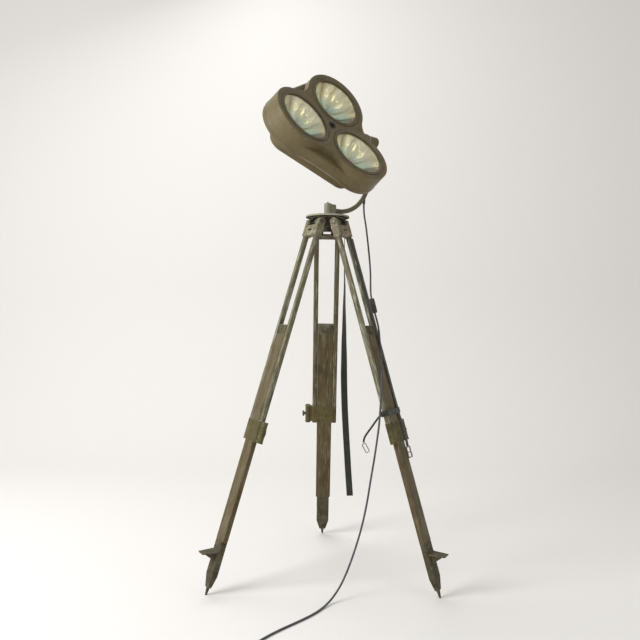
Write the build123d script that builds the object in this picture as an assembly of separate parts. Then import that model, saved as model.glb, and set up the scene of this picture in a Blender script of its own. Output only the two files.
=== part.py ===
from build123d import *
import math
import os

# Surgical floor lamp: a three-lamp head on a bent arm, which turns on a folding field tripod.
# Millimetres and degrees. +X is to the right, +Y away from the front, +Z up, floor at Z = 0.

# Fits
RUNNING_FIT = 0.05
SLIDE_FIT = 0.3
SOFT_GAP = 0.3
BOARD_SEAT_FIT = 0.05

# Tripod, as a whole
FOOT_CIRCLE = 475.5
HINGE_CIRCLE = 54.0
HINGE_Z = 1336.0
BACK_AZIMUTH = 90.0
LEG_COUNT = 3
LEG_SLOPE = math.degrees(math.atan((FOOT_CIRCLE - HINGE_CIRCLE) / HINGE_Z))

# Tripod head
PLATE_RADIUS = 83.5
PLATE_THICKNESS = 9.0
PLATE_TOP_Z = 1366.0
PLATE_EDGE = 3.5
PLATE_LIP = 2.0
PLATE_LIP_WIDTH = 9.0
HUB_DISC_RADIUS = 34.0
HUB_DISC_THICKNESS = 12.0
HUB_BOSS_RADIUS = 15.5
HUB_BOSS_LENGTH = 30.0
EAR_THICKNESS = 12.0
EAR_END_RADIUS = 14.0
PIN_RADIUS = 5.0
PIN_HEAD_RADIUS = 7.5
PIN_HEAD_LENGTH = 3.0

# Fixing screw under the tripod head
FIXING_KNOB_RADIUS = 14.5
FIXING_KNOB_LENGTH = 20.0
FIXING_KNOB_GAP = 0.5
FIXING_STUD_RADIUS = 5.0
FIXING_STUD_LENGTH = 24.0
FIXING_GRIP_COUNT = 12
FIXING_GRIP_RADIUS = 1.6

# Upper legs
BOARD_WIDTH = 62.0
BOARD_THICKNESS = 19.0
BOARD_EDGE = 1.5
RAIL_WIDTH = 19.2
RAIL_DEPTH = 20.0
RAIL_EDGE = 6.5
LEG_HEAD_LENGTH = 54.0
LEG_HEAD_DEPTH = 28.0
LEG_HEAD_END_RADIUS = 16.0
LEG_HEAD_WEB = 5.0
LEG_HEAD_WEB_TOP = 14.0
LEG_HEAD_BAR = 15.0
LEG_HEAD_EDGE = 2.5
WEB_SLOT_WIDTH = 29.0
WEB_SLOT_HEIGHT = 9.0
WEB_SLOT_DROP = 32.0
COLLAR_TOP = 768.0
COLLAR_LENGTH = 77.0
COLLAR_WIDTH = 102.0
COLLAR_DEPTH = 24.0
COLLAR_EDGE = 7.5
CLAMP_BARREL_RADIUS = 10.5
CLAMP_BARREL_REACH = 69.5
CLAMP_CAP_RADIUS = 11.5
CLAMP_CAP_LENGTH = 4.0
CLAMP_WEB_THICKNESS = 12.0
CLAMP_SCREW_RADIUS = 4.0
CLAMP_HEAD_RADIUS = 5.5
CLAMP_HEAD_LENGTH = 7.0
CLAMP_WING_LENGTH = 24.0
CLAMP_WING_REACH = 9.0
CLAMP_WING_THICKNESS = 3.0
CLAMP_WING_ROOT = 4.0
CLAMP_WING_EDGE = 2.0

# Lower legs
SLIDE_TOP = 407.0
SLIDE_CAP_LENGTH = 38.0
SLIDE_CAP_WALL = 2.0
SLIDE_CAP_ROOF = 4.0
CAP_SCREW_RADIUS = 4.5
CAP_SCREW_DROP = 16.0
SHOE_TOP = 1210.0
SHOE_WIDTH = 53.0
SHOE_THICKNESS = 24.0
SHOE_EDGE = 4.0
SHOE_TAPER_START = 1330.0
SHOE_TAPER_END = 1374.0
SHOE_END_WIDTH = 27.0
SHOE_END_THICKNESS = 15.0
SHOE_GROOVES = 2
SHOE_GROOVE_PITCH = 9.0
SHOE_GROOVE_DEPTH = 1.0
SHOE_GROOVE_WIDTH = 2.0
SHOE_SCREW_RADIUS = 5.0
SHOE_SCREW_DROP = 76.0
TONGUE_WIDTH = 44.0
TONGUE_THICKNESS = 14.0
TONGUE_LENGTH = 90.0
SPIKE_RADIUS = 7.0
SPIKE_TIP_RADIUS = 2.6
STEP_TOP_Z = 153.0
STEP_REACH = 497.0
STEP_THICKNESS = 4.0
STEP_INNER_WIDTH = 53.0
STEP_OUTER_WIDTH = 38.0
STEP_WEB_WIDTH = 30.0
STEP_WEB_DROP = 33.0
STEP_WEB_INSET = 8.0

# Swivel spindle and arm
ARM_AZIMUTH = 43.0
SPINDLE_RADIUS = 9.0
SPINDLE_CAP_RADIUS = 12.0
SPINDLE_CAP_THICKNESS = 1.5
SPINDLE_NUT_RADIUS = 4.0
SPINDLE_NUT_HEIGHT = 5.0
SPINDLE_END_GAP = 0.2
SLEEVE_RADIUS = 13.75
SLEEVE_HEIGHT = 46.5
SLEEVE_FOOT_GAP = 0.1
LUG_REACH = 35.0
LUG_HALF_WIDTH = 11.0
LUG_FOOT_Z = 1374.0
LUG_TOP_Z = 1411.5
LUG_EDGE = 6.0
ARM_TUBE_RADIUS = 9.0
ARM_TUBE_WALL = 2.0
ARM_SOCKET_DEPTH = 18.0
ARM_RUN_Z = 1389.5
ARM_BEND_RADIUS = 175.0
KNUCKLE_RADIUS = 22.0
KNUCKLE_GAP = 2.0
KNUCKLE_ARM_INSET = 18.5
KNUCKLE_LENGTH = 50.0
KNUCKLE_EDGE = 6.0
KNUCKLE_END_WALL = 7.0
KNUCKLE_SOCKET_RADIUS = 13.0
KNUCKLE_SOCKET_DROP = 30.0
FRICTION_SCREW_RADIUS = 4.0
FRICTION_KNOB_RADIUS = 13.0
FRICTION_KNOB_LENGTH = 14.0
FRICTION_KNOB_GAP = 1.0
GLAND_REACH = 200.0
GLAND_RADIUS = 7.0
GLAND_END_RADIUS = 4.6
GLAND_LENGTH = 30.0
GLAND_FOOT_Z = 1432.0
GLAND_RUN = 34.0

# Lamp head, measured from the tilt axis: +X along the axis to the arm, +Z out through the glass
PIVOT_Z = 1688.0
HEAD_SHIFT = -9.0
HEAD_ELEVATION = 30.5
LAMP_CIRCLE = 143.0
LAMP_ANGLES = (180.0, 60.0, 300.0)
TOE_IN = 5.0
GLASS_PLANE = 45.0
CASING_WALL = 3.0
FRONT_LOBE_RADIUS = 131.5
BACK_LOBE_RADIUS = 136.0
FRONT_WAIST = 167.0
BACK_WAIST = 171.0
JOINT_PLANE = -20.0
FRONT_TOP = 62.0
LIP_CIRCLE = 140.0
LIP_RADIUS = 135.0
LIP_PLANE = 17.0
LIP_EDGE = 9.0
FLANGE_RADIUS = 137.0
FLANGE_BACK_PLANE = -39.0
FLANGE_BACK_RADIUS = 136.0
FLANGE_BACK_WAIST = 187.0
FLANGE_EDGE = 6.0
FRONT_EDGE = 3.0
RIM_SEARCH = 12.0
REAR_LOBE_CIRCLE = 148.0
REAR_LOBE_RADIUS = 54.0
REAR_PLANE = -110.0
REAR_EDGE = 9.0
LID_THICKNESS = 4.0
LID_INSET = 8.0
LID_SCREW_RADIUS = 3.5
LID_SCREW_HEIGHT = 2.2
LID_SCREW_INSET = 8.0
GASKET_THICKNESS = 1.0
GASKET_PROUD = 0.4
PIVOT_BOSS_RADIUS = 26.0
PIVOT_BOSS_FIT = 0.2
PIVOT_BOSS_INNER = 150.0
PIVOT_BOSS_PROUD = 4.5
TRUNNION_FLANGE_RADIUS = 24.0
TRUNNION_FLANGE_THICKNESS = 8.0
TRUNNION_ROOT = 16.0
TRUNNION_RADIUS = 9.0
TRUNNION_END_GAP = 1.0

# Lamps, measured from the glass plane of each lamp: +Z out through the glass
SEAT_RADIUS = 118.0
SEAT_DEPTH = 9.0
GLASS_RADIUS = 106.0
GLASS_THICKNESS = 4.0
GLASS_DOME = 8.0
GLASS_FIT = 0.2
RIM_OUTER_RADIUS = 112.0
RIM_INNER_RADIUS = 99.5
RIM_GROOVE = 2.5
RIM_BED = 3.0
RIM_PROUD = 2.0
RIM_EDGE = 1.4
SEAT_BORE_RADIUS = 100.0
REFLECTOR_RIM_RADIUS = 105.0
REFLECTOR_RADIUS = 98.0
REFLECTOR_NECK_RADIUS = 20.0
REFLECTOR_DEPTH = 58.0
REFLECTOR_WALL = 1.5
REFLECTOR_LIP = 1.5
REFLECTOR_BULGE = 0.78
REFLECTOR_BELLY = 0.86
REFLECTOR_SKEW = 0.7
BULB_RADIUS = 15.0
BULB_CENTRE_DROP = 36.0
BULB_NECK_RADIUS = 8.0
BULB_CAP_RADIUS = 11.0
BULB_CAP_LENGTH = 20.0
HOLDER_RADIUS = 17.0
HOLDER_LENGTH = 26.0
HOLDER_FIT = 0.2
SOCKET_RADIUS = 9.0
SOCKET_HEIGHT = 7.0
SOCKET_BORE = 5.0
SOCKET_FLANGE_RADIUS = 16.0
SOCKET_FLANGE_THICKNESS = 1.6
SOCKET_SCREW_RADIUS = 2.0
SOCKET_SCREW_HEIGHT = 1.4

# Webbing
WEBBING_THICKNESS = 2.4
WEBBING_WIDTH = 19.5
KEEPER_WIRE = 1.8
KEEPER_BEND = 3.0
KEEPER_STUD_RADIUS = 3.0
KEEPER_STUD_LENGTH = 9.0
HANGING_STRAP_WIDTH = 25.0
HANGING_STRAP_TWIST = 80.0
CARRY_STRAP_EDGE = 51.0
CARRY_STRAP_TOP = 62.0
CARRY_STRAP_TAIL = 21.0
CARRY_STRAP_FALL = 2.0
CARRY_STRAP_BEND = 6.0
CARRY_STRAP_STEP = 14.0
CARRY_STRAP_LEAN = 1.5
TIE_STRAP_SLACK = 3.5
TIE_STRAP_CORNER = 1.5
TIE_STRAP_RISE = 46.0
TIE_STRAP_WIDTH = 20.0
BUCKLE_WIDTH = 34.0
BUCKLE_LENGTH = 42.0
BUCKLE_WIRE = 4.0
BUCKLE_EDGE = 1.2
TIE_TAIL_WIDTH = 7.0
TIE_TAIL_GAP = 1.4
TIE_TAIL_BEND = 12.0
HOOK_WIRE = 1.8
HOOK_WIDTH = 13.0
HOOK_LENGTH = 34.0
HOOK_BEND = 4.5
HOOK_LEAN = 28.0

# Mains cord, its switch and its plug
CORD_RADIUS = 3.5
CORD_FLOOR_Z = CORD_RADIUS + 0.1
SWITCH_LENGTH = 61.0
SWITCH_WIDTH = 21.0
SWITCH_DEPTH = 17.0
SWITCH_EDGE = 4.0
SWITCH_END_EDGE = 3.5
ROCKER_WIDTH = 9.0
ROCKER_RADIUS = 9.0
ROCKER_PROUD = 1.6
ROCKER_FIT = 0.3
ROCKER_FLOOR = 3.1
ROCKER_WELL_FLOOR = 1.7
COIL_RADIUS = 46.0
COIL_PITCH = 7.8
COIL_HALF_TURNS_IN = 4
COIL_LEAD = CORD_RADIUS * 2
COIL_TAIL = 44.0
PLUG_LENGTH = 42.0
PLUG_WIDTH = 34.0
PLUG_EDGE = 6.0
PLUG_END_EDGE = 2.0
PLUG_PIN_RADIUS = 2.0
PLUG_PIN_LENGTH = 19.0
PLUG_PIN_SPACING = 19.0

# Route of the cord from the gland to the coil, in the tripod's frame
GLAND_X = GLAND_REACH * math.cos(math.radians(ARM_AZIMUTH))
GLAND_Y = GLAND_REACH * math.sin(math.radians(ARM_AZIMUTH))
CORD_ROUTE = [
    (GLAND_X, GLAND_Y, GLAND_FOOT_Z),
    (GLAND_X, GLAND_Y, GLAND_FOOT_Z - GLAND_RUN),
    (155.0, 130.0, 1350.0),
    (162.0, 117.0, 1290.0),
    (168.0, 97.0, 1225.0),
    (172.5, 73.0, 1160.0),
    (171.5, 46.0, 1104.0),
    (171.0, 23.0, 1061.0),
    (186.4, -27.0, 989.0),
    (196.0, -70.5, 944.0),
    (199.0, -95.0, 888.0),
    (206.0, -133.0, 815.0),
    (201.0, -172.0, 745.0),
    (196.0, -197.0, 675.0),
    (192.0, -204.0, 606.0),
    (183.5, -210.0, 540.0),
    (174.0, -215.0, 475.0),
    (162.0, -221.0, 403.0),
    (149.5, -227.0, 320.0),
    (132.0, -234.0, 240.0),
    (109.0, -241.0, 163.0),
    (84.0, -250.0, 95.0),
    (60.0, -263.0, 46.0),
    (31.0, -290.0, 13.0),
    (3.0, -338.0, CORD_FLOOR_Z),
    (-32.0, -396.0, CORD_FLOOR_Z),
    (-80.0, -452.0, CORD_FLOOR_Z),
    (-137.0, -513.0, CORD_FLOOR_Z),
    (-190.0, -580.0, CORD_FLOOR_Z),
    (-226.0, -648.0, CORD_FLOOR_Z),
]
SWITCH_RUN = 7

# How far a cutting block runs past the piece it cuts
CUTTER_SPAN = 600.0
CUTTER_RISE = 200.0
CUTTER_PAST = 99.0

# Route of the hanging strap: height, place of its middle, and turn of its flat side
HANGING_ROUTE = [
    (1336.0, 67.0, 39.0),
    (1150.0, 69.0, 39.0),
    (960.0, 71.0, 39.0),
    (760.0, 72.5, 39.0),
    (600.0, 79.0, 39.0),
    (440.0, 90.0, 39.0),
    (284.0, 102.0, 39.0),
]

# Route of the loose end of the tie strap after the leg, seen from the front: place across and height
TIE_TAIL_ROUTE = [(192.0, 626.0), (168.0, 592.0), (143.0, 555.0), (138.0, 534.0)]

# Worked out from the sizes above
RAIL_INNER = BOARD_WIDTH / 2 + SLIDE_FIT
RAIL_OUTER = RAIL_INNER + RAIL_WIDTH
CHEEK_INNER = RAIL_INNER - 1.5
EAR_OUTER = CHEEK_INNER - SLIDE_FIT
PLATE_FOOT_Z = PLATE_TOP_Z - PLATE_THICKNESS
SPINDLE_TOP_Z = PLATE_TOP_Z + SLEEVE_FOOT_GAP + SLEEVE_HEIGHT + SPINDLE_END_GAP
HUB_FOOT_Z = PLATE_FOOT_Z - HUB_BOSS_LENGTH
PIVOT_BOSS_REACH = LAMP_CIRCLE / 2 + FLANGE_RADIUS + PIVOT_BOSS_PROUD
KNUCKLE_INNER_REACH = PIVOT_BOSS_REACH + TRUNNION_FLANGE_THICKNESS + HEAD_SHIFT + KNUCKLE_GAP
KNUCKLE_OUTER_REACH = KNUCKLE_INNER_REACH + KNUCKLE_LENGTH
ARM_TOP_REACH = KNUCKLE_INNER_REACH + KNUCKLE_ARM_INSET
ARM_BEND_START = ARM_TOP_REACH - ARM_BEND_RADIUS
COLLAR_FOOT = COLLAR_TOP + COLLAR_LENGTH
TIE_STRAP_TOP = COLLAR_TOP - TIE_STRAP_RISE
LEG_AZIMUTHS = [BACK_AZIMUTH + 360.0 / LEG_COUNT * i for i in range(LEG_COUNT)]
FRONT_LEAN = math.radians(LEG_AZIMUTHS[1] - 180.0)
FRONT_REACH = STEP_REACH * math.sin(FRONT_LEAN) + STEP_OUTER_WIDTH / 2 * math.cos(FRONT_LEAN)
AXIS_Y = (FRONT_REACH - STEP_REACH) / 2


def block(x0, x1, y0, y1, z0, z1):
    """A box between two corners."""
    return Pos((x0 + x1) / 2, (y0 + y1) / 2, (z0 + z1) / 2) * Box(x1 - x0, y1 - y0, z1 - z0)


def rod_x(radius, x0, x1, y=0.0, z=0.0):
    return Pos((x0 + x1) / 2, y, z) * Rot(0, 90, 0) * Cylinder(radius, x1 - x0)


def rod_y(radius, y0, y1, x=0.0, z=0.0):
    return Pos(x, (y0 + y1) / 2, z) * Rot(90, 0, 0) * Cylinder(radius, y1 - y0)


def rod_z(radius, z0, z1, x=0.0, y=0.0):
    return Pos(x, y, (z0 + z1) / 2) * Cylinder(radius, z1 - z0)


def soft_bar(width, depth, z0, z1, edge):
    """An upright bar of rounded section, centred on the Z axis."""
    return Pos(0, 0, z0) * extrude(RectangleRounded(width, depth, edge), z1 - z0)


def polar(reach, angle):
    return (reach * math.cos(math.radians(angle)), reach * math.sin(math.radians(angle)))


def along(start, end, share):
    return tuple(a + (b - a) * share for a, b in zip(start, end))


def leg_frame(azimuth):
    """Hinge pin at the origin, X along the pin, Z up the leg, Y out of the leg's outer face."""
    return Rot(0, 0, azimuth - BACK_AZIMUTH) * Pos(0, HINGE_CIRCLE, HINGE_Z) * Rot(LEG_SLOPE, 0, 0)


def arm_frame():
    """X along the arm's reach, Z up, on the swivel axis at floor height."""
    return Rot(0, 0, ARM_AZIMUTH)


def head_frame():
    """Tilt axis along X, Z out through the glass."""
    return arm_frame() * Pos(HEAD_SHIFT, 0, PIVOT_Z) * Rot(90 - HEAD_ELEVATION, 0, 0)


def lamp_frame(angle):
    """Centre of one lamp's glass plane inside the head's frame, turned in to the middle."""
    return Rot(0, 0, angle) * Pos(LAMP_CIRCLE, 0, GLASS_PLANE) * Rot(0, -TOE_IN, 0)


def save(name, frame, *solids):
    """Writes one piece, or a group of like pieces, where it stands on the lamp."""
    placed = [Pos(0, AXIS_Y, 0) * frame * s for s in solids]
    shape = placed[0] if len(placed) == 1 else Compound(children=placed)
    export_step(shape, f"parts/{name}.step")


# Tripod head

def top_plate():
    disc = rod_z(PLATE_RADIUS, PLATE_FOOT_Z, PLATE_TOP_Z)
    disc = fillet(disc.edges().filter_by(GeomType.CIRCLE), PLATE_EDGE)
    recess = rod_z(PLATE_RADIUS - PLATE_LIP_WIDTH, PLATE_FOOT_Z - 1, PLATE_FOOT_Z + PLATE_LIP)
    bed = rod_z(HUB_DISC_RADIUS, PLATE_FOOT_Z, PLATE_FOOT_Z + PLATE_LIP)
    pads = [ear_pad(azimuth) for azimuth in LEG_AZIMUTHS]
    return disc - (recess - bed - pads) - rod_z(SPINDLE_RADIUS, 0, PLATE_TOP_Z + 1)


def ear_pad(azimuth):
    """The plate's raised bed over one pair of ears."""
    pad = block(-EAR_OUTER, EAR_OUTER, 0, HINGE_CIRCLE, PLATE_FOOT_Z, PLATE_FOOT_Z + PLATE_LIP)
    return Rot(0, 0, azimuth - BACK_AZIMUTH) * pad


def hub_spider():
    body = rod_z(HUB_DISC_RADIUS, PLATE_FOOT_Z - HUB_DISC_THICKNESS, PLATE_FOOT_Z)
    body += rod_z(HUB_BOSS_RADIUS, HUB_FOOT_Z, PLATE_FOOT_Z)
    for azimuth in LEG_AZIMUTHS:
        turn = Rot(0, 0, azimuth - BACK_AZIMUTH)
        for side in (-1, 1):
            near, far = sorted((side * (EAR_OUTER - EAR_THICKNESS), side * EAR_OUTER))
            web = block(near, far, HUB_BOSS_RADIUS - 5, HINGE_CIRCLE, HINGE_Z - EAR_END_RADIUS, PLATE_FOOT_Z)
            body += turn * (web + rod_x(EAR_END_RADIUS, near, far, HINGE_CIRCLE, HINGE_Z))
        body -= turn * rod_x(PIN_RADIUS, -EAR_OUTER - 1, EAR_OUTER + 1, HINGE_CIRCLE, HINGE_Z)
    return body - rod_z(SPINDLE_RADIUS, HUB_FOOT_Z - 1, PLATE_FOOT_Z + 1)


def hinge_pin():
    end = RAIL_OUTER + SLIDE_FIT
    pin = rod_x(PIN_RADIUS, -end, end)
    for side in (-1, 1):
        near, far = sorted((side * end, side * (end + PIN_HEAD_LENGTH)))
        pin += rod_x(PIN_HEAD_RADIUS, near, far)
    return pin


def swivel_spindle():
    body = rod_z(SPINDLE_RADIUS, HUB_FOOT_Z, SPINDLE_TOP_Z)
    body += rod_z(SPINDLE_CAP_RADIUS, SPINDLE_TOP_Z, SPINDLE_TOP_Z + SPINDLE_CAP_THICKNESS)
    nut_foot = SPINDLE_TOP_Z + SPINDLE_CAP_THICKNESS
    nut = Pos(0, 0, nut_foot) * extrude(RegularPolygon(SPINDLE_NUT_RADIUS, 6), SPINDLE_NUT_HEIGHT)
    stud_top = HUB_FOOT_Z + FIXING_STUD_LENGTH
    return body + nut - rod_z(FIXING_STUD_RADIUS + RUNNING_FIT, HUB_FOOT_Z - 1, stud_top)


def fixing_screw():
    top = HUB_FOOT_Z - FIXING_KNOB_GAP
    knob = rod_z(FIXING_KNOB_RADIUS, top - FIXING_KNOB_LENGTH, top)
    knob = fillet(knob.edges().filter_by(GeomType.CIRCLE), FIXING_GRIP_RADIUS)
    for i in range(FIXING_GRIP_COUNT):
        x, y = polar(FIXING_KNOB_RADIUS, 360.0 / FIXING_GRIP_COUNT * i)
        knob -= rod_z(FIXING_GRIP_RADIUS, top - FIXING_KNOB_LENGTH - 1, top + 1, x, y)
    return knob + rod_z(FIXING_STUD_RADIUS, top - 1, HUB_FOOT_Z + FIXING_STUD_LENGTH - 1)


# Legs, in the leg's frame: lengths down the leg are negative heights

def leg_head():
    half_depth = LEG_HEAD_DEPTH / 2
    body = None
    for side in (-1, 1):
        near, far = sorted((side * CHEEK_INNER, side * RAIL_OUTER))
        cheek = block(near, far, -half_depth, half_depth, -LEG_HEAD_LENGTH, 0)
        upper = block(near, far, -half_depth, half_depth, 0, CUTTER_PAST)
        cheek += rod_x(LEG_HEAD_END_RADIUS, near, far) & upper
        body = cheek if body is None else body + cheek
    web_in = half_depth - LEG_HEAD_WEB
    body += block(-CHEEK_INNER, CHEEK_INNER, web_in, half_depth, -LEG_HEAD_LENGTH, -LEG_HEAD_WEB_TOP)
    bar_top = -LEG_HEAD_LENGTH + LEG_HEAD_BAR
    body += block(-CHEEK_INNER, CHEEK_INNER, -half_depth + LEG_HEAD_WEB, half_depth, -LEG_HEAD_LENGTH, bar_top)
    body = fillet(body.edges().filter_by(Axis.Z).group_by(Axis.Y)[-1], LEG_HEAD_EDGE)
    half_slot = WEB_SLOT_WIDTH / 2
    low, high = -WEB_SLOT_DROP - WEB_SLOT_HEIGHT / 2, -WEB_SLOT_DROP + WEB_SLOT_HEIGHT / 2
    body -= block(-half_slot, half_slot, -half_depth - 1, half_depth + 1, low, high)
    return body - rod_x(PIN_RADIUS + RUNNING_FIT, -RAIL_OUTER - 1, RAIL_OUTER + 1)


def leg_rail(side):
    middle = side * (RAIL_INNER + RAIL_OUTER) / 2
    return Pos(middle, 0, 0) * soft_bar(RAIL_WIDTH, RAIL_DEPTH, -COLLAR_TOP, -LEG_HEAD_LENGTH, RAIL_EDGE)


def collar():
    body = soft_bar(COLLAR_WIDTH, COLLAR_DEPTH, -COLLAR_FOOT, -COLLAR_TOP, COLLAR_EDGE)
    half_web = CLAMP_WEB_THICKNESS / 2
    inset = CLAMP_CAP_LENGTH
    body += block(
        -CLAMP_BARREL_REACH, -COLLAR_WIDTH / 2 + COLLAR_EDGE, -half_web, half_web,
        -COLLAR_FOOT + inset, -COLLAR_TOP - inset,
    )
    body += rod_z(CLAMP_BARREL_RADIUS, -COLLAR_FOOT, -COLLAR_TOP, -CLAMP_BARREL_REACH)
    for foot in (-COLLAR_FOOT, -COLLAR_TOP - CLAMP_CAP_LENGTH):
        body += rod_z(CLAMP_CAP_RADIUS, foot, foot + CLAMP_CAP_LENGTH, -CLAMP_BARREL_REACH)
    body -= block(
        -BOARD_WIDTH / 2 - SLIDE_FIT, BOARD_WIDTH / 2 + SLIDE_FIT,
        -BOARD_THICKNESS / 2 - SLIDE_FIT, BOARD_THICKNESS / 2 + SLIDE_FIT,
        -COLLAR_FOOT - 1, -COLLAR_TOP + 1,
    )
    middle = -(COLLAR_TOP + COLLAR_FOOT) / 2
    hole = CLAMP_SCREW_RADIUS + RUNNING_FIT
    return body - rod_x(hole, -CLAMP_BARREL_REACH - 30, -BOARD_WIDTH / 2, 0, middle)


def clamp_screw():
    middle = -(COLLAR_TOP + COLLAR_FOOT) / 2
    outer = -CLAMP_BARREL_REACH - CLAMP_BARREL_RADIUS - SLIDE_FIT
    inner = -BOARD_WIDTH / 2 - SLIDE_FIT * 2
    body = rod_x(CLAMP_SCREW_RADIUS, outer - 1, inner, 0, middle)
    body += rod_x(CLAMP_HEAD_RADIUS, outer - CLAMP_HEAD_LENGTH, outer, 0, middle)
    wing_x = outer - CLAMP_HEAD_LENGTH
    half = CLAMP_WING_THICKNESS / 2
    wing = block(
        wing_x - CLAMP_WING_REACH + CLAMP_WING_ROOT, wing_x + CLAMP_WING_ROOT - 1, -half, half,
        middle - CLAMP_WING_LENGTH / 2, middle + CLAMP_WING_LENGTH / 2,
    )
    return body + fillet(wing.edges().filter_by(Axis.Y), CLAMP_WING_EDGE)


def lower_board():
    top = -SLIDE_TOP - SLIDE_CAP_ROOF
    shoulder = (BOARD_WIDTH - SHOE_WIDTH) / 2
    half = BOARD_WIDTH / 2
    foot = -SHOE_TOP
    outline = Polyline(
        (-half, top), (half, top), (half, foot + shoulder), (half - shoulder, foot),
        (TONGUE_WIDTH / 2, foot), (TONGUE_WIDTH / 2, foot - TONGUE_LENGTH),
        (-TONGUE_WIDTH / 2, foot - TONGUE_LENGTH), (-TONGUE_WIDTH / 2, foot),
        (shoulder - half, foot), (-half, foot + shoulder), close=True,
    )
    board = extrude(Plane.XZ * make_face(outline), BOARD_THICKNESS / 2, both=True)
    board = chamfer(board.edges().filter_by(Axis.Z).filter_by(lambda e: e.length > SHOE_TOP / 2), BOARD_EDGE)
    skin = (BOARD_THICKNESS - TONGUE_THICKNESS) / 2
    for side in (-1, 1):
        near, far = sorted((side * TONGUE_THICKNESS / 2, side * (TONGUE_THICKNESS / 2 + skin + 1)))
        board -= block(-half, half, near, far, foot - TONGUE_LENGTH - 1, foot)
    return board


def slide_cap():
    depth = BOARD_THICKNESS + 2 * SLIDE_CAP_WALL
    cap = soft_bar(BOARD_WIDTH, depth, -SLIDE_TOP - SLIDE_CAP_LENGTH, -SLIDE_TOP, SLIDE_CAP_WALL)
    cap -= block(
        -BOARD_WIDTH, BOARD_WIDTH, -BOARD_THICKNESS / 2 - BOARD_SEAT_FIT,
        BOARD_THICKNESS / 2 + BOARD_SEAT_FIT, -SLIDE_TOP - SLIDE_CAP_LENGTH - 1, -SLIDE_TOP - SLIDE_CAP_ROOF,
    )
    drop = -SLIDE_TOP - CAP_SCREW_DROP
    for side in (-1, 1):
        near, far = sorted((side * (depth / 2 - 1), side * (depth / 2 + SLIDE_CAP_WALL)))
        cap += rod_y(CAP_SCREW_RADIUS, near, far, 0, drop)
    return cap


def shoe(slope):
    """The iron shoe with its spike and step; the spike is cut level with the floor."""
    body = soft_bar(SHOE_WIDTH, SHOE_THICKNESS, -SHOE_TAPER_START, -SHOE_TOP, SHOE_EDGE)
    wide = Pos(0, 0, -SHOE_TAPER_START) * RectangleRounded(SHOE_WIDTH, SHOE_THICKNESS, SHOE_EDGE)
    narrow = Pos(0, 0, -SHOE_TAPER_END) * RectangleRounded(SHOE_END_WIDTH, SHOE_END_THICKNESS, SHOE_EDGE)
    body += loft([wide, narrow], ruled=True)
    tip = HINGE_Z / math.cos(math.radians(slope))
    spike_length = tip - SHOE_TAPER_END + SPIKE_RADIUS
    body += Pos(0, 0, -SHOE_TAPER_END - spike_length / 2 + 1) * Cone(
        SPIKE_TIP_RADIUS, SPIKE_RADIUS, spike_length + 2
    )
    step = shoe_step(slope) - shoe_core()
    body += step
    for i in range(SHOE_GROOVES):
        z = -SHOE_TOP - SHOE_GROOVE_PITCH * (i + 1)
        ring = soft_bar(SHOE_WIDTH + 9, SHOE_THICKNESS + 9, z - SHOE_GROOVE_WIDTH, z, SHOE_EDGE)
        keep = soft_bar(
            SHOE_WIDTH - 2 * SHOE_GROOVE_DEPTH, SHOE_THICKNESS - 2 * SHOE_GROOVE_DEPTH,
            z - SHOE_GROOVE_WIDTH, z, SHOE_EDGE - SHOE_GROOVE_DEPTH,
        )
        body -= ring - keep
    body -= block(
        -TONGUE_WIDTH / 2, TONGUE_WIDTH / 2, -TONGUE_THICKNESS / 2, TONGUE_THICKNESS / 2,
        -SHOE_TOP - TONGUE_LENGTH, -SHOE_TOP + 1,
    )
    for side in (-1, 1):
        near, far = sorted((side * (SHOE_THICKNESS / 2 - 1), side * (SHOE_THICKNESS / 2 + 2)))
        body += rod_y(SHOE_SCREW_RADIUS, near, far, 0, -SHOE_TOP - SHOE_SCREW_DROP)
    ground = block(-CUTTER_PAST, CUTTER_PAST, 0, FOOT_CIRCLE, -HINGE_Z - CUTTER_PAST, -HINGE_Z)
    floor = Rot(-slope, 0, 0) * ground
    return body - floor


def shoe_core():
    return block(
        -SHOE_WIDTH / 2 + SHOE_EDGE, SHOE_WIDTH / 2 - SHOE_EDGE, -SHOE_THICKNESS, 0,
        -SHOE_TAPER_START, -SHOE_TOP,
    )


def shoe_step(slope):
    """The level step that is trodden on, drawn upright and then leaned with the leg."""
    reach = STEP_REACH - HINGE_CIRCLE
    top = STEP_TOP_Z - HINGE_Z
    leg_here = -top * math.tan(math.radians(slope))
    outline = Polyline(
        (-STEP_INNER_WIDTH / 2, leg_here), (-STEP_INNER_WIDTH / 2, leg_here + SHOE_THICKNESS / 2),
        (-STEP_OUTER_WIDTH / 2, reach), (STEP_OUTER_WIDTH / 2, reach),
        (STEP_INNER_WIDTH / 2, leg_here + SHOE_THICKNESS / 2), (STEP_INNER_WIDTH / 2, leg_here), close=True,
    )
    tread = Pos(0, 0, top - STEP_THICKNESS) * extrude(make_face(outline), STEP_THICKNESS)
    under = top - STEP_THICKNESS
    inside = under + STEP_THICKNESS / 8
    foot = under - STEP_WEB_DROP
    side = Polyline(
        (leg_here, inside), (reach - STEP_WEB_INSET, inside),
        (leg_here + SHOE_THICKNESS / 2 + STEP_WEB_INSET, foot), (leg_here, foot), close=True,
    )
    web = extrude(Plane.YZ * make_face(side), STEP_WEB_WIDTH / 2, both=True)
    return Rot(-slope, 0, 0) * (tread + web)


# Arm, in the arm's frame

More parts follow.
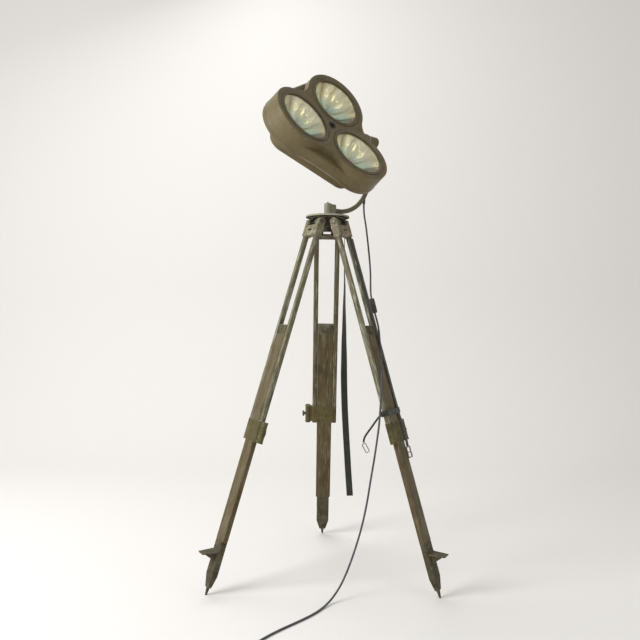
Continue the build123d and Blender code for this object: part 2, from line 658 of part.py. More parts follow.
def arm_line():
    bend_centre = (ARM_BEND_START, 0, ARM_RUN_Z + ARM_BEND_RADIUS)
    start = (LUG_REACH - ARM_SOCKET_DEPTH, 0, ARM_RUN_Z)
    bend_foot = (ARM_BEND_START, 0, ARM_RUN_Z)
    eighth = ARM_BEND_RADIUS * math.sin(math.radians(45))
    middle = (ARM_BEND_START + eighth, 0, bend_centre[2] - eighth)
    bend_top = (ARM_TOP_REACH, 0, bend_centre[2])
    top = (ARM_TOP_REACH, 0, PIVOT_Z - KNUCKLE_RADIUS)
    return Line(start, bend_foot) + ThreePointArc(bend_foot, middle, bend_top) + Line(bend_top, top)


def arm_solid(radius):
    path = arm_line()
    return sweep(Plane(path @ 0, z_dir=path % 0) * Circle(radius), path)


def arm_tube():
    return arm_solid(ARM_TUBE_RADIUS) - arm_solid(ARM_TUBE_RADIUS - ARM_TUBE_WALL)


def arm_sleeve():
    foot = PLATE_TOP_Z + SLEEVE_FOOT_GAP
    body = rod_z(SLEEVE_RADIUS, foot, foot + SLEEVE_HEIGHT)
    lug = block(0, LUG_REACH, -LUG_HALF_WIDTH, LUG_HALF_WIDTH, LUG_FOOT_Z, LUG_TOP_Z)
    body += fillet(lug.edges().filter_by(Axis.Y).group_by(Axis.X)[-1], LUG_EDGE)
    body -= rod_z(SPINDLE_RADIUS + RUNNING_FIT, foot - 1, foot + SLEEVE_HEIGHT + 1)
    return body - rod_x(ARM_TUBE_RADIUS, LUG_REACH - ARM_SOCKET_DEPTH, LUG_REACH + 1, 0, ARM_RUN_Z)


def tilt_knuckle():
    body = rod_x(KNUCKLE_RADIUS, KNUCKLE_INNER_REACH, KNUCKLE_OUTER_REACH, 0, PIVOT_Z)
    body = fillet(body.edges().filter_by(GeomType.CIRCLE), KNUCKLE_EDGE)
    socket_foot = PIVOT_Z - KNUCKLE_RADIUS - KNUCKLE_SOCKET_DROP
    body += rod_z(KNUCKLE_SOCKET_RADIUS, socket_foot, PIVOT_Z, ARM_TOP_REACH)
    body -= rod_z(ARM_TUBE_RADIUS, socket_foot - 1, PIVOT_Z - KNUCKLE_RADIUS, ARM_TOP_REACH)
    bore_end = KNUCKLE_OUTER_REACH - KNUCKLE_END_WALL
    bore = TRUNNION_RADIUS + RUNNING_FIT
    body -= rod_x(bore, KNUCKLE_INNER_REACH - 1, bore_end, 0, PIVOT_Z)
    middle = (KNUCKLE_INNER_REACH + KNUCKLE_OUTER_REACH) / 2
    return body - rod_y(FRICTION_SCREW_RADIUS + RUNNING_FIT, 0, KNUCKLE_RADIUS + 1, middle, PIVOT_Z)


def tilt_friction_knob():
    middle = (KNUCKLE_INNER_REACH + KNUCKLE_OUTER_REACH) / 2
    foot = KNUCKLE_RADIUS + FRICTION_KNOB_GAP
    stud = rod_y(FRICTION_SCREW_RADIUS, TRUNNION_RADIUS + SLIDE_FIT, foot + 1, middle, PIVOT_Z)
    knob = rod_y(FRICTION_KNOB_RADIUS, foot, foot + FRICTION_KNOB_LENGTH, middle, PIVOT_Z)
    for i in range(FIXING_GRIP_COUNT):
        x, z = polar(FRICTION_KNOB_RADIUS, 360.0 / FIXING_GRIP_COUNT * i)
        knob -= rod_y(FIXING_GRIP_RADIUS, foot - 1, foot + FRICTION_KNOB_LENGTH + 1, middle + x, PIVOT_Z + z)
    return stud + knob


def cord_gland():
    taper = Cone(GLAND_END_RADIUS, GLAND_RADIUS, GLAND_LENGTH)
    return Pos(GLAND_REACH, 0, GLAND_FOOT_Z + GLAND_LENGTH / 2) * taper - arm_solid(ARM_TUBE_RADIUS)


# Lamp head, in the head's frame

def waist_radius(lobe_radius, waist):
    """Radius of the hollow arc that touches two lobes and passes the waist."""
    near = waist - LAMP_CIRCLE * 0.5
    side = LAMP_CIRCLE * math.sin(math.radians(60))
    return (near**2 + side**2 - lobe_radius**2) / (2 * (lobe_radius - near))


def lobed_face(lobe_radius, waist):
    """Three round lobes joined by hollow waists."""
    hollow = waist_radius(lobe_radius, waist)
    lines = []
    for angle in sorted(LAMP_ANGLES):
        lobe = polar(LAMP_CIRCLE, angle)
        waist_centre = polar(waist + hollow, angle + 60)
        share = lobe_radius / (lobe_radius + hollow)
        end = along(lobe, waist_centre, share)
        start = along(lobe, polar(waist + hollow, angle - 60), share)
        lines.append(ThreePointArc(start, polar(LAMP_CIRCLE + lobe_radius, angle), end))
        after = along(polar(LAMP_CIRCLE, angle + 120), waist_centre, share)
        lines.append(ThreePointArc(end, polar(waist, angle + 60), after))
    return make_face(lines)


def rounded_triangle(circle, radius):
    """Three corners of one radius joined by straight sides."""
    lines = []
    for angle in sorted(LAMP_ANGLES):
        corner = polar(circle, angle)
        start, top, end = (
            tuple(c + d for c, d in zip(corner, polar(radius, angle + turn))) for turn in (-60, 0, 60)
        )
        nxt = polar(circle, angle + 120)
        following = tuple(c + d for c, d in zip(nxt, polar(radius, angle + 60)))
        lines.append(ThreePointArc(start, top, end))
        lines.append(Line(end, following))
    return make_face(lines)


def dish_cutter(drop):
    """What lies in front of the three turned-in lamp planes, moved back by a wall."""
    cutter = None
    for angle in LAMP_ANGLES:
        slab = block(-CUTTER_SPAN, CUTTER_SPAN, -CUTTER_SPAN, CUTTER_SPAN, -drop, CUTTER_RISE)
        slab = lamp_frame(angle) * slab
        cutter = slab if cutter is None else cutter & slab
    return cutter


def front_body(inset):
    """The front casing's outer shape, or with an inset the space inside its wall."""
    low = JOINT_PLANE if inset == 0 else JOINT_PLANE - 1
    back = Pos(0, 0, low) * lobed_face(BACK_LOBE_RADIUS - inset, BACK_WAIST - inset)
    front = Pos(0, 0, FRONT_TOP) * lobed_face(FRONT_LOBE_RADIUS - inset, FRONT_WAIST - inset)
    body = loft([back, front], ruled=True)
    skirt_back = Pos(0, 0, low) * rounded_triangle(LAMP_CIRCLE, FLANGE_RADIUS - inset)
    skirt_front = Pos(0, 0, LIP_PLANE - inset) * rounded_triangle(LIP_CIRCLE, LIP_RADIUS - inset)
    skirt = loft([skirt_back, skirt_front], ruled=True)
    body += fillet(skirt.edges().group_by(Axis.Z)[-1], LIP_EDGE)
    return body - dish_cutter(inset)


def front_housing():
    body = front_body(0)
    body = fillet(front_rim_edges(body), FRONT_EDGE)
    body -= front_body(CASING_WALL)
    body += rod_x(PIVOT_BOSS_RADIUS, PIVOT_BOSS_INNER, PIVOT_BOSS_REACH)
    for angle in LAMP_ANGLES:
        frame = lamp_frame(angle)
        body += frame * rod_z(SEAT_RADIUS, -SEAT_DEPTH, 0)
        body -= frame * rod_z(SEAT_BORE_RADIUS, -SEAT_DEPTH - 1, 9)
        body -= frame * rod_z(GLASS_RADIUS + GLASS_FIT, -RIM_BED - GLASS_THICKNESS, 9)
        body -= frame * rod_z(RIM_OUTER_RADIUS + RIM_GROOVE, -RIM_BED, 9)
    root = PIVOT_BOSS_REACH - TRUNNION_ROOT
    return body - rod_x(TRUNNION_RADIUS, root, PIVOT_BOSS_REACH + 1)


def front_rim_edges(body):
    """The outer edges around the front of the lobes and waists."""
    return [
        e for e in body.edges()
        if e.center().Z > GLASS_PLANE - RIM_SEARCH
        and math.hypot(e.center().X, e.center().Y) > FRONT_WAIST - RIM_SEARCH
        and e.bounding_box().size.Z < FRONT_TOP / 2
        and e.geom_type != GeomType.LINE
    ]


def flange_body(inset, low, high):
    """From a waisted outline at the back to straight sides at the joint."""
    back = Pos(0, 0, low) * lobed_face(FLANGE_BACK_RADIUS - inset, FLANGE_BACK_WAIST - inset)
    joint = Pos(0, 0, high) * rounded_triangle(LAMP_CIRCLE, FLANGE_RADIUS - inset)
    return loft([back, joint], ruled=True)


def rear_shell():
    """The flange behind the joint, with the smaller box that stands on its back."""
    wall = CASING_WALL
    top = JOINT_PLANE - GASKET_THICKNESS
    flange = fillet(flange_body(0, FLANGE_BACK_PLANE, top).edges().group_by(Axis.Z)[0], FLANGE_EDGE)
    rear = Pos(0, 0, REAR_PLANE) * extrude(
        rounded_triangle(REAR_LOBE_CIRCLE, REAR_LOBE_RADIUS), FLANGE_BACK_PLANE - REAR_PLANE + 1
    )
    rear = fillet(rear.edges().group_by(Axis.Z)[0], REAR_EDGE)
    hollow = flange_body(FLANGE_EDGE, FLANGE_BACK_PLANE + wall, top)
    hollow += Pos(0, 0, REAR_PLANE + wall) * extrude(
        rounded_triangle(REAR_LOBE_CIRCLE, REAR_LOBE_RADIUS - REAR_EDGE), FLANGE_BACK_PLANE - REAR_PLANE
    )
    return flange + rear - hollow - boss_notch()


def boss_notch():
    """Room for the pivot boss, with its fit."""
    return rod_x(PIVOT_BOSS_RADIUS + PIVOT_BOSS_FIT, PIVOT_BOSS_INNER - PIVOT_BOSS_FIT, PIVOT_BOSS_REACH)


def housing_gasket():
    outer = rounded_triangle(LAMP_CIRCLE, FLANGE_RADIUS + GASKET_PROUD)
    inner = rounded_triangle(LAMP_CIRCLE, FLANGE_RADIUS - CASING_WALL)
    ring = Pos(0, 0, JOINT_PLANE - GASKET_THICKNESS) * extrude(outer - inner, GASKET_THICKNESS)
    return ring - boss_notch()


def rear_lid():
    plate = extrude(rounded_triangle(REAR_LOBE_CIRCLE, REAR_LOBE_RADIUS - REAR_EDGE - LID_INSET), LID_THICKNESS)
    plate = Pos(0, 0, REAR_PLANE - LID_THICKNESS) * plate
    return fillet(plate.edges().group_by(Axis.Z)[0], LID_THICKNESS / 2)


def lid_screws():
    reach = REAR_LOBE_CIRCLE + REAR_LOBE_RADIUS - REAR_EDGE - LID_INSET - LID_SCREW_INSET
    top = REAR_PLANE - LID_THICKNESS
    side_reach = REAR_LOBE_CIRCLE / 2 + REAR_LOBE_RADIUS - REAR_EDGE - LID_INSET - LID_SCREW_INSET
    places = [polar(reach, a) for a in LAMP_ANGLES] + [polar(side_reach, a + 60) for a in LAMP_ANGLES]
    return [rod_z(LID_SCREW_RADIUS, top - LID_SCREW_HEIGHT, top, x, y) for x, y in places]


def trunnion():
    root = PIVOT_BOSS_REACH - TRUNNION_ROOT
    end = KNUCKLE_OUTER_REACH - HEAD_SHIFT - KNUCKLE_END_WALL - TRUNNION_END_GAP
    body = rod_x(TRUNNION_RADIUS, root, end)
    flange_end = PIVOT_BOSS_REACH + TRUNNION_FLANGE_THICKNESS
    return body + rod_x(TRUNNION_FLANGE_RADIUS, PIVOT_BOSS_REACH, flange_end)


def centre_foot():
    """Height of the dish where the three lamp planes meet."""
    return GLASS_PLANE - LAMP_CIRCLE * math.tan(math.radians(TOE_IN))


def centre_socket():
    foot = centre_foot()
    body = rod_z(SOCKET_FLANGE_RADIUS, foot, foot + SOCKET_FLANGE_THICKNESS)
    body += rod_z(SOCKET_RADIUS, foot, foot + SOCKET_HEIGHT)
    body -= dish_under()
    body -= rod_z(SOCKET_BORE, foot + 1, foot + SOCKET_HEIGHT + 1)
    for angle in LAMP_ANGLES:
        x, y = polar((SOCKET_RADIUS + SOCKET_FLANGE_RADIUS) / 2, angle + 60)
        top = foot + SOCKET_FLANGE_THICKNESS
        body += rod_z(SOCKET_SCREW_RADIUS, top - 0.5, top + SOCKET_SCREW_HEIGHT, x, y)
    return body


def dish_under():
    """The casing's material under the middle of the dish."""
    half = 2 * SOCKET_FLANGE_RADIUS
    return block(-half, half, -half, half, -half, FRONT_TOP) - dish_cutter(0)


# Lamps, in each lamp's frame

def retaining_ring():
    ring = rod_z(RIM_OUTER_RADIUS, -RIM_BED, RIM_PROUD) - rod_z(RIM_INNER_RADIUS, -9, 9)
    return fillet(ring.edges().group_by(Axis.Z)[-1], RIM_EDGE)


def cap(radius, height, foot):
    """A shallow dome on a round foot."""
    ball = (radius**2 + height**2) / (2 * height)
    return (Pos(0, 0, foot + height - ball) * Sphere(ball)) & rod_z(radius + 1, foot, foot + height + 1)


def lens_glass():
    top = -RIM_BED
    foot = top - GLASS_THICKNESS
    dome_radius = RIM_INNER_RADIUS - GLASS_FIT
    body = rod_z(GLASS_RADIUS, foot, top) + cap(dome_radius, GLASS_DOME, top)
    return body - cap(dome_radius - GLASS_THICKNESS, GLASS_DOME, foot)


def reflector():
    top = -SEAT_DEPTH
    lip = top - REFLECTOR_LIP
    foot = lip - REFLECTOR_DEPTH
    wall = REFLECTOR_WALL
    mid_r = REFLECTOR_NECK_RADIUS + (REFLECTOR_RADIUS - REFLECTOR_NECK_RADIUS) * REFLECTOR_BULGE
    mid_z = lip - REFLECTOR_DEPTH * (1 - REFLECTOR_BULGE**2 * REFLECTOR_BELLY)
    section = [
        ThreePointArc((REFLECTOR_RADIUS, lip), (mid_r, mid_z), (REFLECTOR_NECK_RADIUS, foot)),
        Line((REFLECTOR_NECK_RADIUS, foot), (REFLECTOR_NECK_RADIUS, foot - wall)),
        ThreePointArc(
            (REFLECTOR_NECK_RADIUS, foot - wall), (mid_r + wall * REFLECTOR_SKEW, mid_z - wall * REFLECTOR_SKEW),
            (REFLECTOR_RADIUS + wall, lip),
        ),
        Line((REFLECTOR_RADIUS + wall, lip), (REFLECTOR_RIM_RADIUS, lip)),
        Line((REFLECTOR_RIM_RADIUS, lip), (REFLECTOR_RIM_RADIUS, top)),
        Line((REFLECTOR_RIM_RADIUS, top), (REFLECTOR_RADIUS, top)),
        Line((REFLECTOR_RADIUS, top), (REFLECTOR_RADIUS, lip)),
    ]
    return revolve(Plane.XZ * make_face(section), Axis.Z)


def neck_plane():
    """Height of the reflector's neck."""
    return -SEAT_DEPTH - REFLECTOR_LIP - REFLECTOR_DEPTH - REFLECTOR_WALL


def bulb():
    centre = -SEAT_DEPTH - BULB_CENTRE_DROP
    foot = neck_plane()
    body = Pos(0, 0, centre) * Sphere(BULB_RADIUS) + rod_z(BULB_NECK_RADIUS, foot, centre)
    return body + rod_z(BULB_CAP_RADIUS, foot - BULB_CAP_LENGTH, foot + BULB_NECK_RADIUS)


def lamp_holder():
    top = neck_plane()
    cup = rod_z(HOLDER_RADIUS, top - HOLDER_LENGTH, top)
    rim = rod_z(REFLECTOR_NECK_RADIUS + REFLECTOR_WALL, top - 2, top)
    return cup + rim - rod_z(BULB_CAP_RADIUS + HOLDER_FIT, top - BULB_CAP_LENGTH - HOLDER_FIT, top + 1)


# Webbing

def strap_keeper():
    """A three-cornered wire ring under a stud in the plate, which carries the hanging strap."""
    top, x, y = HANGING_ROUTE[0]
    half = HANGING_STRAP_WIDTH / 2 + KEEPER_WIRE
    low = top + SOFT_GAP + KEEPER_WIRE
    high = PLATE_FOOT_Z - KEEPER_STUD_LENGTH / 2
    path = FilletPolyline((0, -half, low), (0, half, low), (0, 0, high), radius=KEEPER_BEND, close=True)
    ring = sweep(Plane(path @ 0, z_dir=path % 0) * Circle(KEEPER_WIRE), path)
    stud = rod_z(KEEPER_STUD_RADIUS, PLATE_FOOT_Z - KEEPER_STUD_LENGTH, PLATE_FOOT_Z)
    return Pos(x, y, 0) * (ring + stud)


def hanging_strap():
    """Webbing that hangs edge-on and turns its flat side to the front lower down."""
    sections = []
    last = len(HANGING_ROUTE) - 1
    for i, (z, x, y) in enumerate(HANGING_ROUTE):
        turn = 90.0 - HANGING_STRAP_TWIST * min(1.0, i / (last - 3)) ** 2
        band = Rot(0, 0, turn) * Rectangle(HANGING_STRAP_WIDTH, WEBBING_THICKNESS)
        sections.append(Pos(x, y, z) * band)
    return loft(sections, ruled=True)


def band_along(points, radius, depth, height):
    """Webbing along a bent line in the XZ plane, of a depth along Y and a height across the line."""
    path = FilletPolyline(*[(x, 0, z) for x, z in points], radius=radius)
    start = Plane(path @ 0, x_dir=(0, 1, 0), z_dir=path % 0)
    return sweep(start * Rectangle(depth, height), path)


def carry_strap_foot():
    return COLLAR_FOOT + CARRY_STRAP_FALL + CARRY_STRAP_TAIL


def carry_strap():
    """Lies down the outer face of the clamp-side rail and over the collar."""
    face = RAIL_DEPTH / 2 + SOFT_GAP + WEBBING_THICKNESS / 2
    proud = COLLAR_DEPTH / 2 + SOFT_GAP + WEBBING_THICKNESS / 2
    rise = -COLLAR_TOP + CARRY_STRAP_STEP
    points = [
        (face, -CARRY_STRAP_TOP), (face, rise), (proud, rise - CARRY_STRAP_STEP * 2 / 3),
        (proud, -COLLAR_FOOT - CARRY_STRAP_FALL), (proud - CARRY_STRAP_LEAN, -carry_strap_foot()),
    ]
    band = band_along(points, CARRY_STRAP_BEND, WEBBING_WIDTH, WEBBING_THICKNESS)
    return Pos(-CARRY_STRAP_EDGE + WEBBING_WIDTH / 2, 0, 0) * Rot(0, 0, 90) * band


def tie_strap():
    """Goes once round the upper leg and the carry strap, slack enough for the slide to pass."""
    inner_x = CARRY_STRAP_EDGE + 2 * SOFT_GAP
    inner_y = RAIL_DEPTH / 2 + TIE_STRAP_SLACK
    thick = WEBBING_THICKNESS
    z0 = -TIE_STRAP_TOP - TIE_STRAP_WIDTH
    outer = soft_bar(
        2 * (inner_x + thick), 2 * (inner_y + thick), z0, -TIE_STRAP_TOP, TIE_STRAP_CORNER + thick
    )
    return outer - soft_bar(2 * inner_x, 2 * inner_y, z0 - 1, -TIE_STRAP_TOP + 1, TIE_STRAP_CORNER)


def tie_start():
    """Where the loose end leaves the tie strap's side, in the tripod's frame."""
    drop = TIE_STRAP_TOP + TIE_STRAP_WIDTH / 2
    out = HINGE_CIRCLE + drop * math.sin(math.radians(LEG_SLOPE))
    side = CARRY_STRAP_EDGE + 2 * SOFT_GAP + WEBBING_THICKNESS + TIE_TAIL_GAP
    x, y = polar(out, LEG_AZIMUTHS[2])
    dx, dy = polar(side, LEG_AZIMUTHS[2] - 90)
    return x + dx, y + dy, HINGE_Z - drop * math.cos(math.radians(LEG_SLOPE))


def tie_tail():
    """The tie strap's narrow loose end, in the tripod's frame."""
    x, y, z = tie_start()
    band = band_along([(x, z), *TIE_TAIL_ROUTE], TIE_TAIL_BEND, WEBBING_THICKNESS, TIE_TAIL_WIDTH)
    return Pos(0, y, 0) * band


def buckle():
    """A wire frame at the foot of the carry strap, in the leg's frame."""
    x = -CARRY_STRAP_EDGE + WEBBING_WIDTH / 2
    y = COLLAR_DEPTH / 2 + SOFT_GAP + WEBBING_THICKNESS / 2 - CARRY_STRAP_LEAN
    top = -carry_strap_foot() - SOFT_GAP
    frame = block(
        x - BUCKLE_WIDTH / 2, x + BUCKLE_WIDTH / 2, y - BUCKLE_WIRE / 2, y + BUCKLE_WIRE / 2,
        top - BUCKLE_LENGTH, top,
    )
    hole = block(
        x - BUCKLE_WIDTH / 2 + BUCKLE_WIRE, x + BUCKLE_WIDTH / 2 - BUCKLE_WIRE, y - BUCKLE_WIRE, y + BUCKLE_WIRE,
        top - BUCKLE_LENGTH + BUCKLE_WIRE, top - BUCKLE_WIRE,
    )
    bar = rod_x(BUCKLE_WIRE / 2, x - BUCKLE_WIDTH / 2 + 1, x + BUCKLE_WIDTH / 2 - 1, y, top - BUCKLE_LENGTH / 2)
    return fillet((frame - hole).edges().filter_by(Axis.Y), BUCKLE_EDGE) + bar


def hook():
    """A leaning wire loop under the end of the tie strap, in the tripod's frame."""
    x, z = TIE_TAIL_ROUTE[-1]
    half = HOOK_WIDTH / 2
    lean = math.radians(HOOK_LEAN)
    rise = (half - HOOK_BEND) * math.sin(lean) + HOOK_BEND * (1 - math.cos(lean))
    before = TIE_TAIL_ROUTE[-2]
    slant = abs(before[0] - x) / math.dist(before, (x, z))
    drop = SOFT_GAP + HOOK_WIRE + rise + TIE_TAIL_WIDTH / 2 * slant
    points = [(-half, 0, 0), (half, 0, 0), (half, 0, -HOOK_LENGTH), (-half, 0, -HOOK_LENGTH)]
    path = FilletPolyline(*points, radius=HOOK_BEND, close=True)
    start = Plane(path @ 0, z_dir=path % 0)
    loop = sweep(start * Circle(HOOK_WIRE), path)
    return Pos(x, tie_start()[1], z - drop) * Rot(0, -HOOK_LEAN, 0) * loop


# Mains cord

def bend_radii(points):
    """For each corner, 0.45 of its shorter run over the tangent of half its turn."""
    radii = []
    for a, b, c in zip(points, points[1:], points[2:]):
        into, out = Vector(*b) - Vector(*a), Vector(*c) - Vector(*b)
        turn = math.radians(into.get_angle(out))
        radii.append(0.45 * min(into.length, out.length) / math.tan(turn / 2))
    return radii


def cord_tube(path, radius):
    return sweep(Plane(path @ 0, z_dir=path % 0) * Circle(radius), path)


def power_cord():
    radii = bend_radii(CORD_ROUTE)
    path = FilletPolyline(*CORD_ROUTE, radius=radii)
    tube = cord_tube(path, CORD_RADIUS)
    print("cord bend radii:", " ".join(f"{r:.0f}" for r in radii))
    expected = math.pi * CORD_RADIUS**2 * path.length
    print(f"cord length {path.length:.0f} mm, volume {tube.volume:.0f} of {expected:.0f} mm3")
    return tube


def switch_frame():
    """Middle of the switch, Z up the cord, Y to the back."""
    high, low = Vector(*CORD_ROUTE[SWITCH_RUN]), Vector(*CORD_ROUTE[SWITCH_RUN + 1])
    up = (high - low).normalized()
    across = Vector(0, 1, 0).cross(up).normalized()
    middle = (high + low) * 0.5
    return Location(Plane(origin=middle, x_dir=across, z_dir=up))


def switch_body():
    half = SWITCH_LENGTH / 2
    body = soft_bar(SWITCH_WIDTH, SWITCH_DEPTH, -half, half, SWITCH_EDGE)
    body = fillet(body.edges().group_by(Axis.Z)[0] + body.edges().group_by(Axis.Z)[-1], SWITCH_END_EDGE)
    near = CORD_ROUTE[SWITCH_RUN - 1 : SWITCH_RUN + 3]
    bore = cord_tube(FilletPolyline(*near, radius=bend_radii(near)), CORD_RADIUS + RUNNING_FIT)
    return body - switch_frame().inverse() * bore - rocker_block(ROCKER_FIT, ROCKER_WELL_FLOOR)


def rocker_block(gap, floor):
    """The rocker, or with a gap the well that it rocks in, down to a floor over the cord."""
    drum = rod_x(ROCKER_RADIUS + gap, -ROCKER_WIDTH / 2 - gap, ROCKER_WIDTH / 2 + gap, rocker_y(), 0)
    half = ROCKER_RADIUS + gap
    front = rocker_y() - half
    return drum & block(-half, half, front, -CORD_RADIUS - floor, -half, half)


def rocker_y():
    return -SWITCH_DEPTH / 2 - ROCKER_PROUD + ROCKER_RADIUS


def coil_points():
    """Ends and middles of the coil's half turns: in, up one layer, and out again."""
    start = Vector(*CORD_ROUTE[-1])
    ahead = (start - Vector(*CORD_ROUTE[-2]))
    ahead = Vector(ahead.X, ahead.Y, 0).normalized()
    lines = [Line(start, start + ahead * COIL_LEAD)]
    place = start + ahead * COIL_LEAD
    side = Vector(0, 0, 1).cross(ahead)
    turns_in = [COIL_RADIUS - COIL_PITCH / 2 * i for i in range(COIL_HALF_TURNS_IN)]
    innermost = COIL_RADIUS - COIL_PITCH / 2 * COIL_HALF_TURNS_IN
    turns_out = turns_in[:0:-1]
    climb = COIL_PITCH
    for i, radius in enumerate(turns_in + [innermost] + turns_out):
        rise = climb if i == COIL_HALF_TURNS_IN else 0.0
        across = side * (2 * radius) + Vector(0, 0, rise)
        middle = place + across * 0.5 + ahead * (across.length / 2)
        lines.append(ThreePointArc(place, middle, place + across))
        place = place + across
        ahead, side = ahead * -1, side * -1
    lines.append(Line(place, place + ahead * COIL_TAIL))
    return lines, place + ahead * COIL_TAIL, ahead


def cord_coil():
    lines, _, _ = coil_points()
    path = Wire(lines)
    tube = cord_tube(path, CORD_RADIUS)
    print(f"coil length {path.length:.0f} mm, {len(lines) - 2} half turns, least self gap {coil_gap(lines):.2f} mm")
    return tube


def coil_gap(lines):
    """Least clear distance between points of the coil that are over a third of a turn apart."""
    points = []
    travelled = 0.0
    for line in lines:
        count = 24
        for i in range(count):
            points.append((travelled + line.length * i / count, line @ (i / count)))
        travelled += line.length
    apart = COIL_RADIUS * 2
    least = min(
        (p - q).length for i, (s, p) in enumerate(points) for t, q in points[i + 1:] if t - s > apart
    )
    return least - 2 * CORD_RADIUS


def plug_frame():
    _, end, ahead = coil_points()
    return Location(Plane(origin=end, x_dir=Vector(0, 0, 1).cross(ahead), z_dir=ahead))


def plug_body():
    height = 2 * (CORD_FLOOR_Z + COIL_PITCH)
    body = extrude(RectangleRounded(PLUG_WIDTH, height, PLUG_EDGE), PLUG_LENGTH)
    return fillet(body.edges().group_by(Axis.Z)[-1], PLUG_END_EDGE)


def plug_pins():
    half = PLUG_PIN_SPACING / 2
    return [rod_z(PLUG_PIN_RADIUS, PLUG_LENGTH, PLUG_LENGTH + PLUG_PIN_LENGTH, side * half) for side in (-1, 1)]


def build_tripod():
    here = Location()
    save("top_plate", here, top_plate())
    save("hub_spider", here, hub_spider())
    save("swivel_spindle", here, swivel_spindle())
    save("fixing_screw", here, fixing_screw())
    pins = [leg_frame(azimuth) * hinge_pin() for azimuth in LEG_AZIMUTHS]
    save("hinge_pins", here, *pins)
    for number, azimuth in enumerate(LEG_AZIMUTHS, 1):
        frame = leg_frame(azimuth)
        save(f"leg_head_{number}", frame, leg_head())
        save(f"leg_rails_{number}", frame, leg_rail(-1), leg_rail(1))
        save(f"collar_{number}", frame, collar())
        save(f"clamp_screw_{number}", frame, clamp_screw())
        save(f"lower_leg_{number}", frame, lower_board())
        save(f"slide_cap_{number}", frame, slide_cap())
        save(f"shoe_{number}", frame, shoe(LEG_SLOPE))


def build_webbing():
    here = Location()
    strap_leg = leg_frame(LEG_AZIMUTHS[2])
    save("strap_keeper", here, strap_keeper())
    save("hanging_strap", here, hanging_strap())
    save("carry_strap", strap_leg, carry_strap())
    save("strap_buckle", strap_leg, buckle())
    save("tie_strap", here, strap_leg * tie_strap(), tie_tail())
    save("strap_hook", here, hook())


def build_arm():
    frame = arm_frame()
    save("arm_sleeve", frame, arm_sleeve())
    save("arm_tube", frame, arm_tube())
    save("tilt_knuckle", frame, tilt_knuckle())
    save("tilt_friction_knob", frame, tilt_friction_knob())
    save("cord_gland", frame, cord_gland())


def build_head():
    frame = head_frame()
    save("front_housing", frame, front_housing())
    save("housing_gasket", frame, housing_gasket())
    save("rear_shell", frame, rear_shell())
    save("rear_lid", frame, rear_lid())
    save("lid_screws", frame, *lid_screws())
    save("trunnion", frame, trunnion())
    save("centre_socket", frame, centre_socket())
    for number, angle in enumerate(LAMP_ANGLES, 1):
        lamp = frame * lamp_frame(angle)
        save(f"retaining_ring_{number}", lamp, retaining_ring())
        save(f"lens_glass_{number}", lamp, lens_glass())
        save(f"reflector_{number}", lamp, reflector())
    lamps = [frame * lamp_frame(angle) for angle in LAMP_ANGLES]
    save("bulbs", Location(), *[lamp * bulb() for lamp in lamps])
    save("lamp_holders", Location(), *[lamp * lamp_holder() for lamp in lamps])


def build_cord():
    here = Location()
    save("power_cord", here, power_cord())
    save("cord_coil", here, cord_coil())
    save("switch_body", switch_frame(), switch_body())
    save("switch_rocker", switch_frame(), rocker_block(0.0, ROCKER_FLOOR))
    save("mains_plug", plug_frame(), plug_body(), *plug_pins())


os.makedirs("parts", exist_ok=True)
build_tripod()
build_webbing()
build_arm()
build_head()
build_cord()
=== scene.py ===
import math
from collections import namedtuple

import bmesh
import bpy
from mathutils import Matrix, Vector


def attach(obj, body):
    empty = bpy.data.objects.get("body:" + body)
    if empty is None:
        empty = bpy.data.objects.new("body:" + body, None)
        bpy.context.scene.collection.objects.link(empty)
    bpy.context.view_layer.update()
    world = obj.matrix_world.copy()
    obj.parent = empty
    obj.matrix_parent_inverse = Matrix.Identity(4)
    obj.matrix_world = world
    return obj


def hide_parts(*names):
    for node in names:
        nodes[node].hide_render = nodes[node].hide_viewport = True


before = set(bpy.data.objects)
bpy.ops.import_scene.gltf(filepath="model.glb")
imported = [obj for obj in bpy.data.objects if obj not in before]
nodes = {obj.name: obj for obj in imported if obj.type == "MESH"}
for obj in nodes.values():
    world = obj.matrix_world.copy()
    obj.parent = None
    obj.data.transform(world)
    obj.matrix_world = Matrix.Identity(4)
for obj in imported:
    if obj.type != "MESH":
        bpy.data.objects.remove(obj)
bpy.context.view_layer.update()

# Sizes that are shared with the solids, in metres and degrees
AXIS_Y = -0.116023
FOOT_CIRCLE = 0.4755
HINGE_CIRCLE = 0.054
HINGE_Z = 1.336
LEG_AZIMUTHS = (90.0, 210.0, 330.0)
LEG_SLOPE = math.atan((FOOT_CIRCLE - HINGE_CIRCLE) / HINGE_Z)
ARM_AZIMUTH = 43.0
PIVOT_Z = 1.688
HEAD_SHIFT = -0.009
HEAD_ELEVATION = 30.5
LAMP_CIRCLE = 0.143
LAMP_ANGLES = (180.0, 60.0, 300.0)
GLAND_REACH = 0.200
GLAND_FOOT_Z = 1.432
GLAND_RUN = 0.034
CORD_RADIUS = 0.0035
FLOOR_CLEARANCE = 0.0001
CORD_FLOOR_Z = CORD_RADIUS + FLOOR_CLEARANCE
COIL_RADIUS = 0.046
COIL_PITCH = 0.0078
COIL_HALF_TURNS_IN = 4
COIL_TAIL = 0.044
WEBBING_THICKNESS = 0.0022
HANGING_WIDTH = 0.025
CARRY_WIDTH = 0.0195
CARRY_MIDDLE_X = -0.04125
TIE_WIDTH = 0.020
TIE_MIDDLE_Z = -0.732
TIE_HALF_X = 0.0528
TIE_HALF_Y = 0.0147
TIE_CORNER = 0.0027
TIE_TAIL_WIDTH = 0.007
TIE_TAIL_Y = -0.1851

TRIPOD = Matrix.Translation((0, AXIS_Y, 0))


def rot(angle, axis):
    return Matrix.Rotation(math.radians(angle), 4, axis)


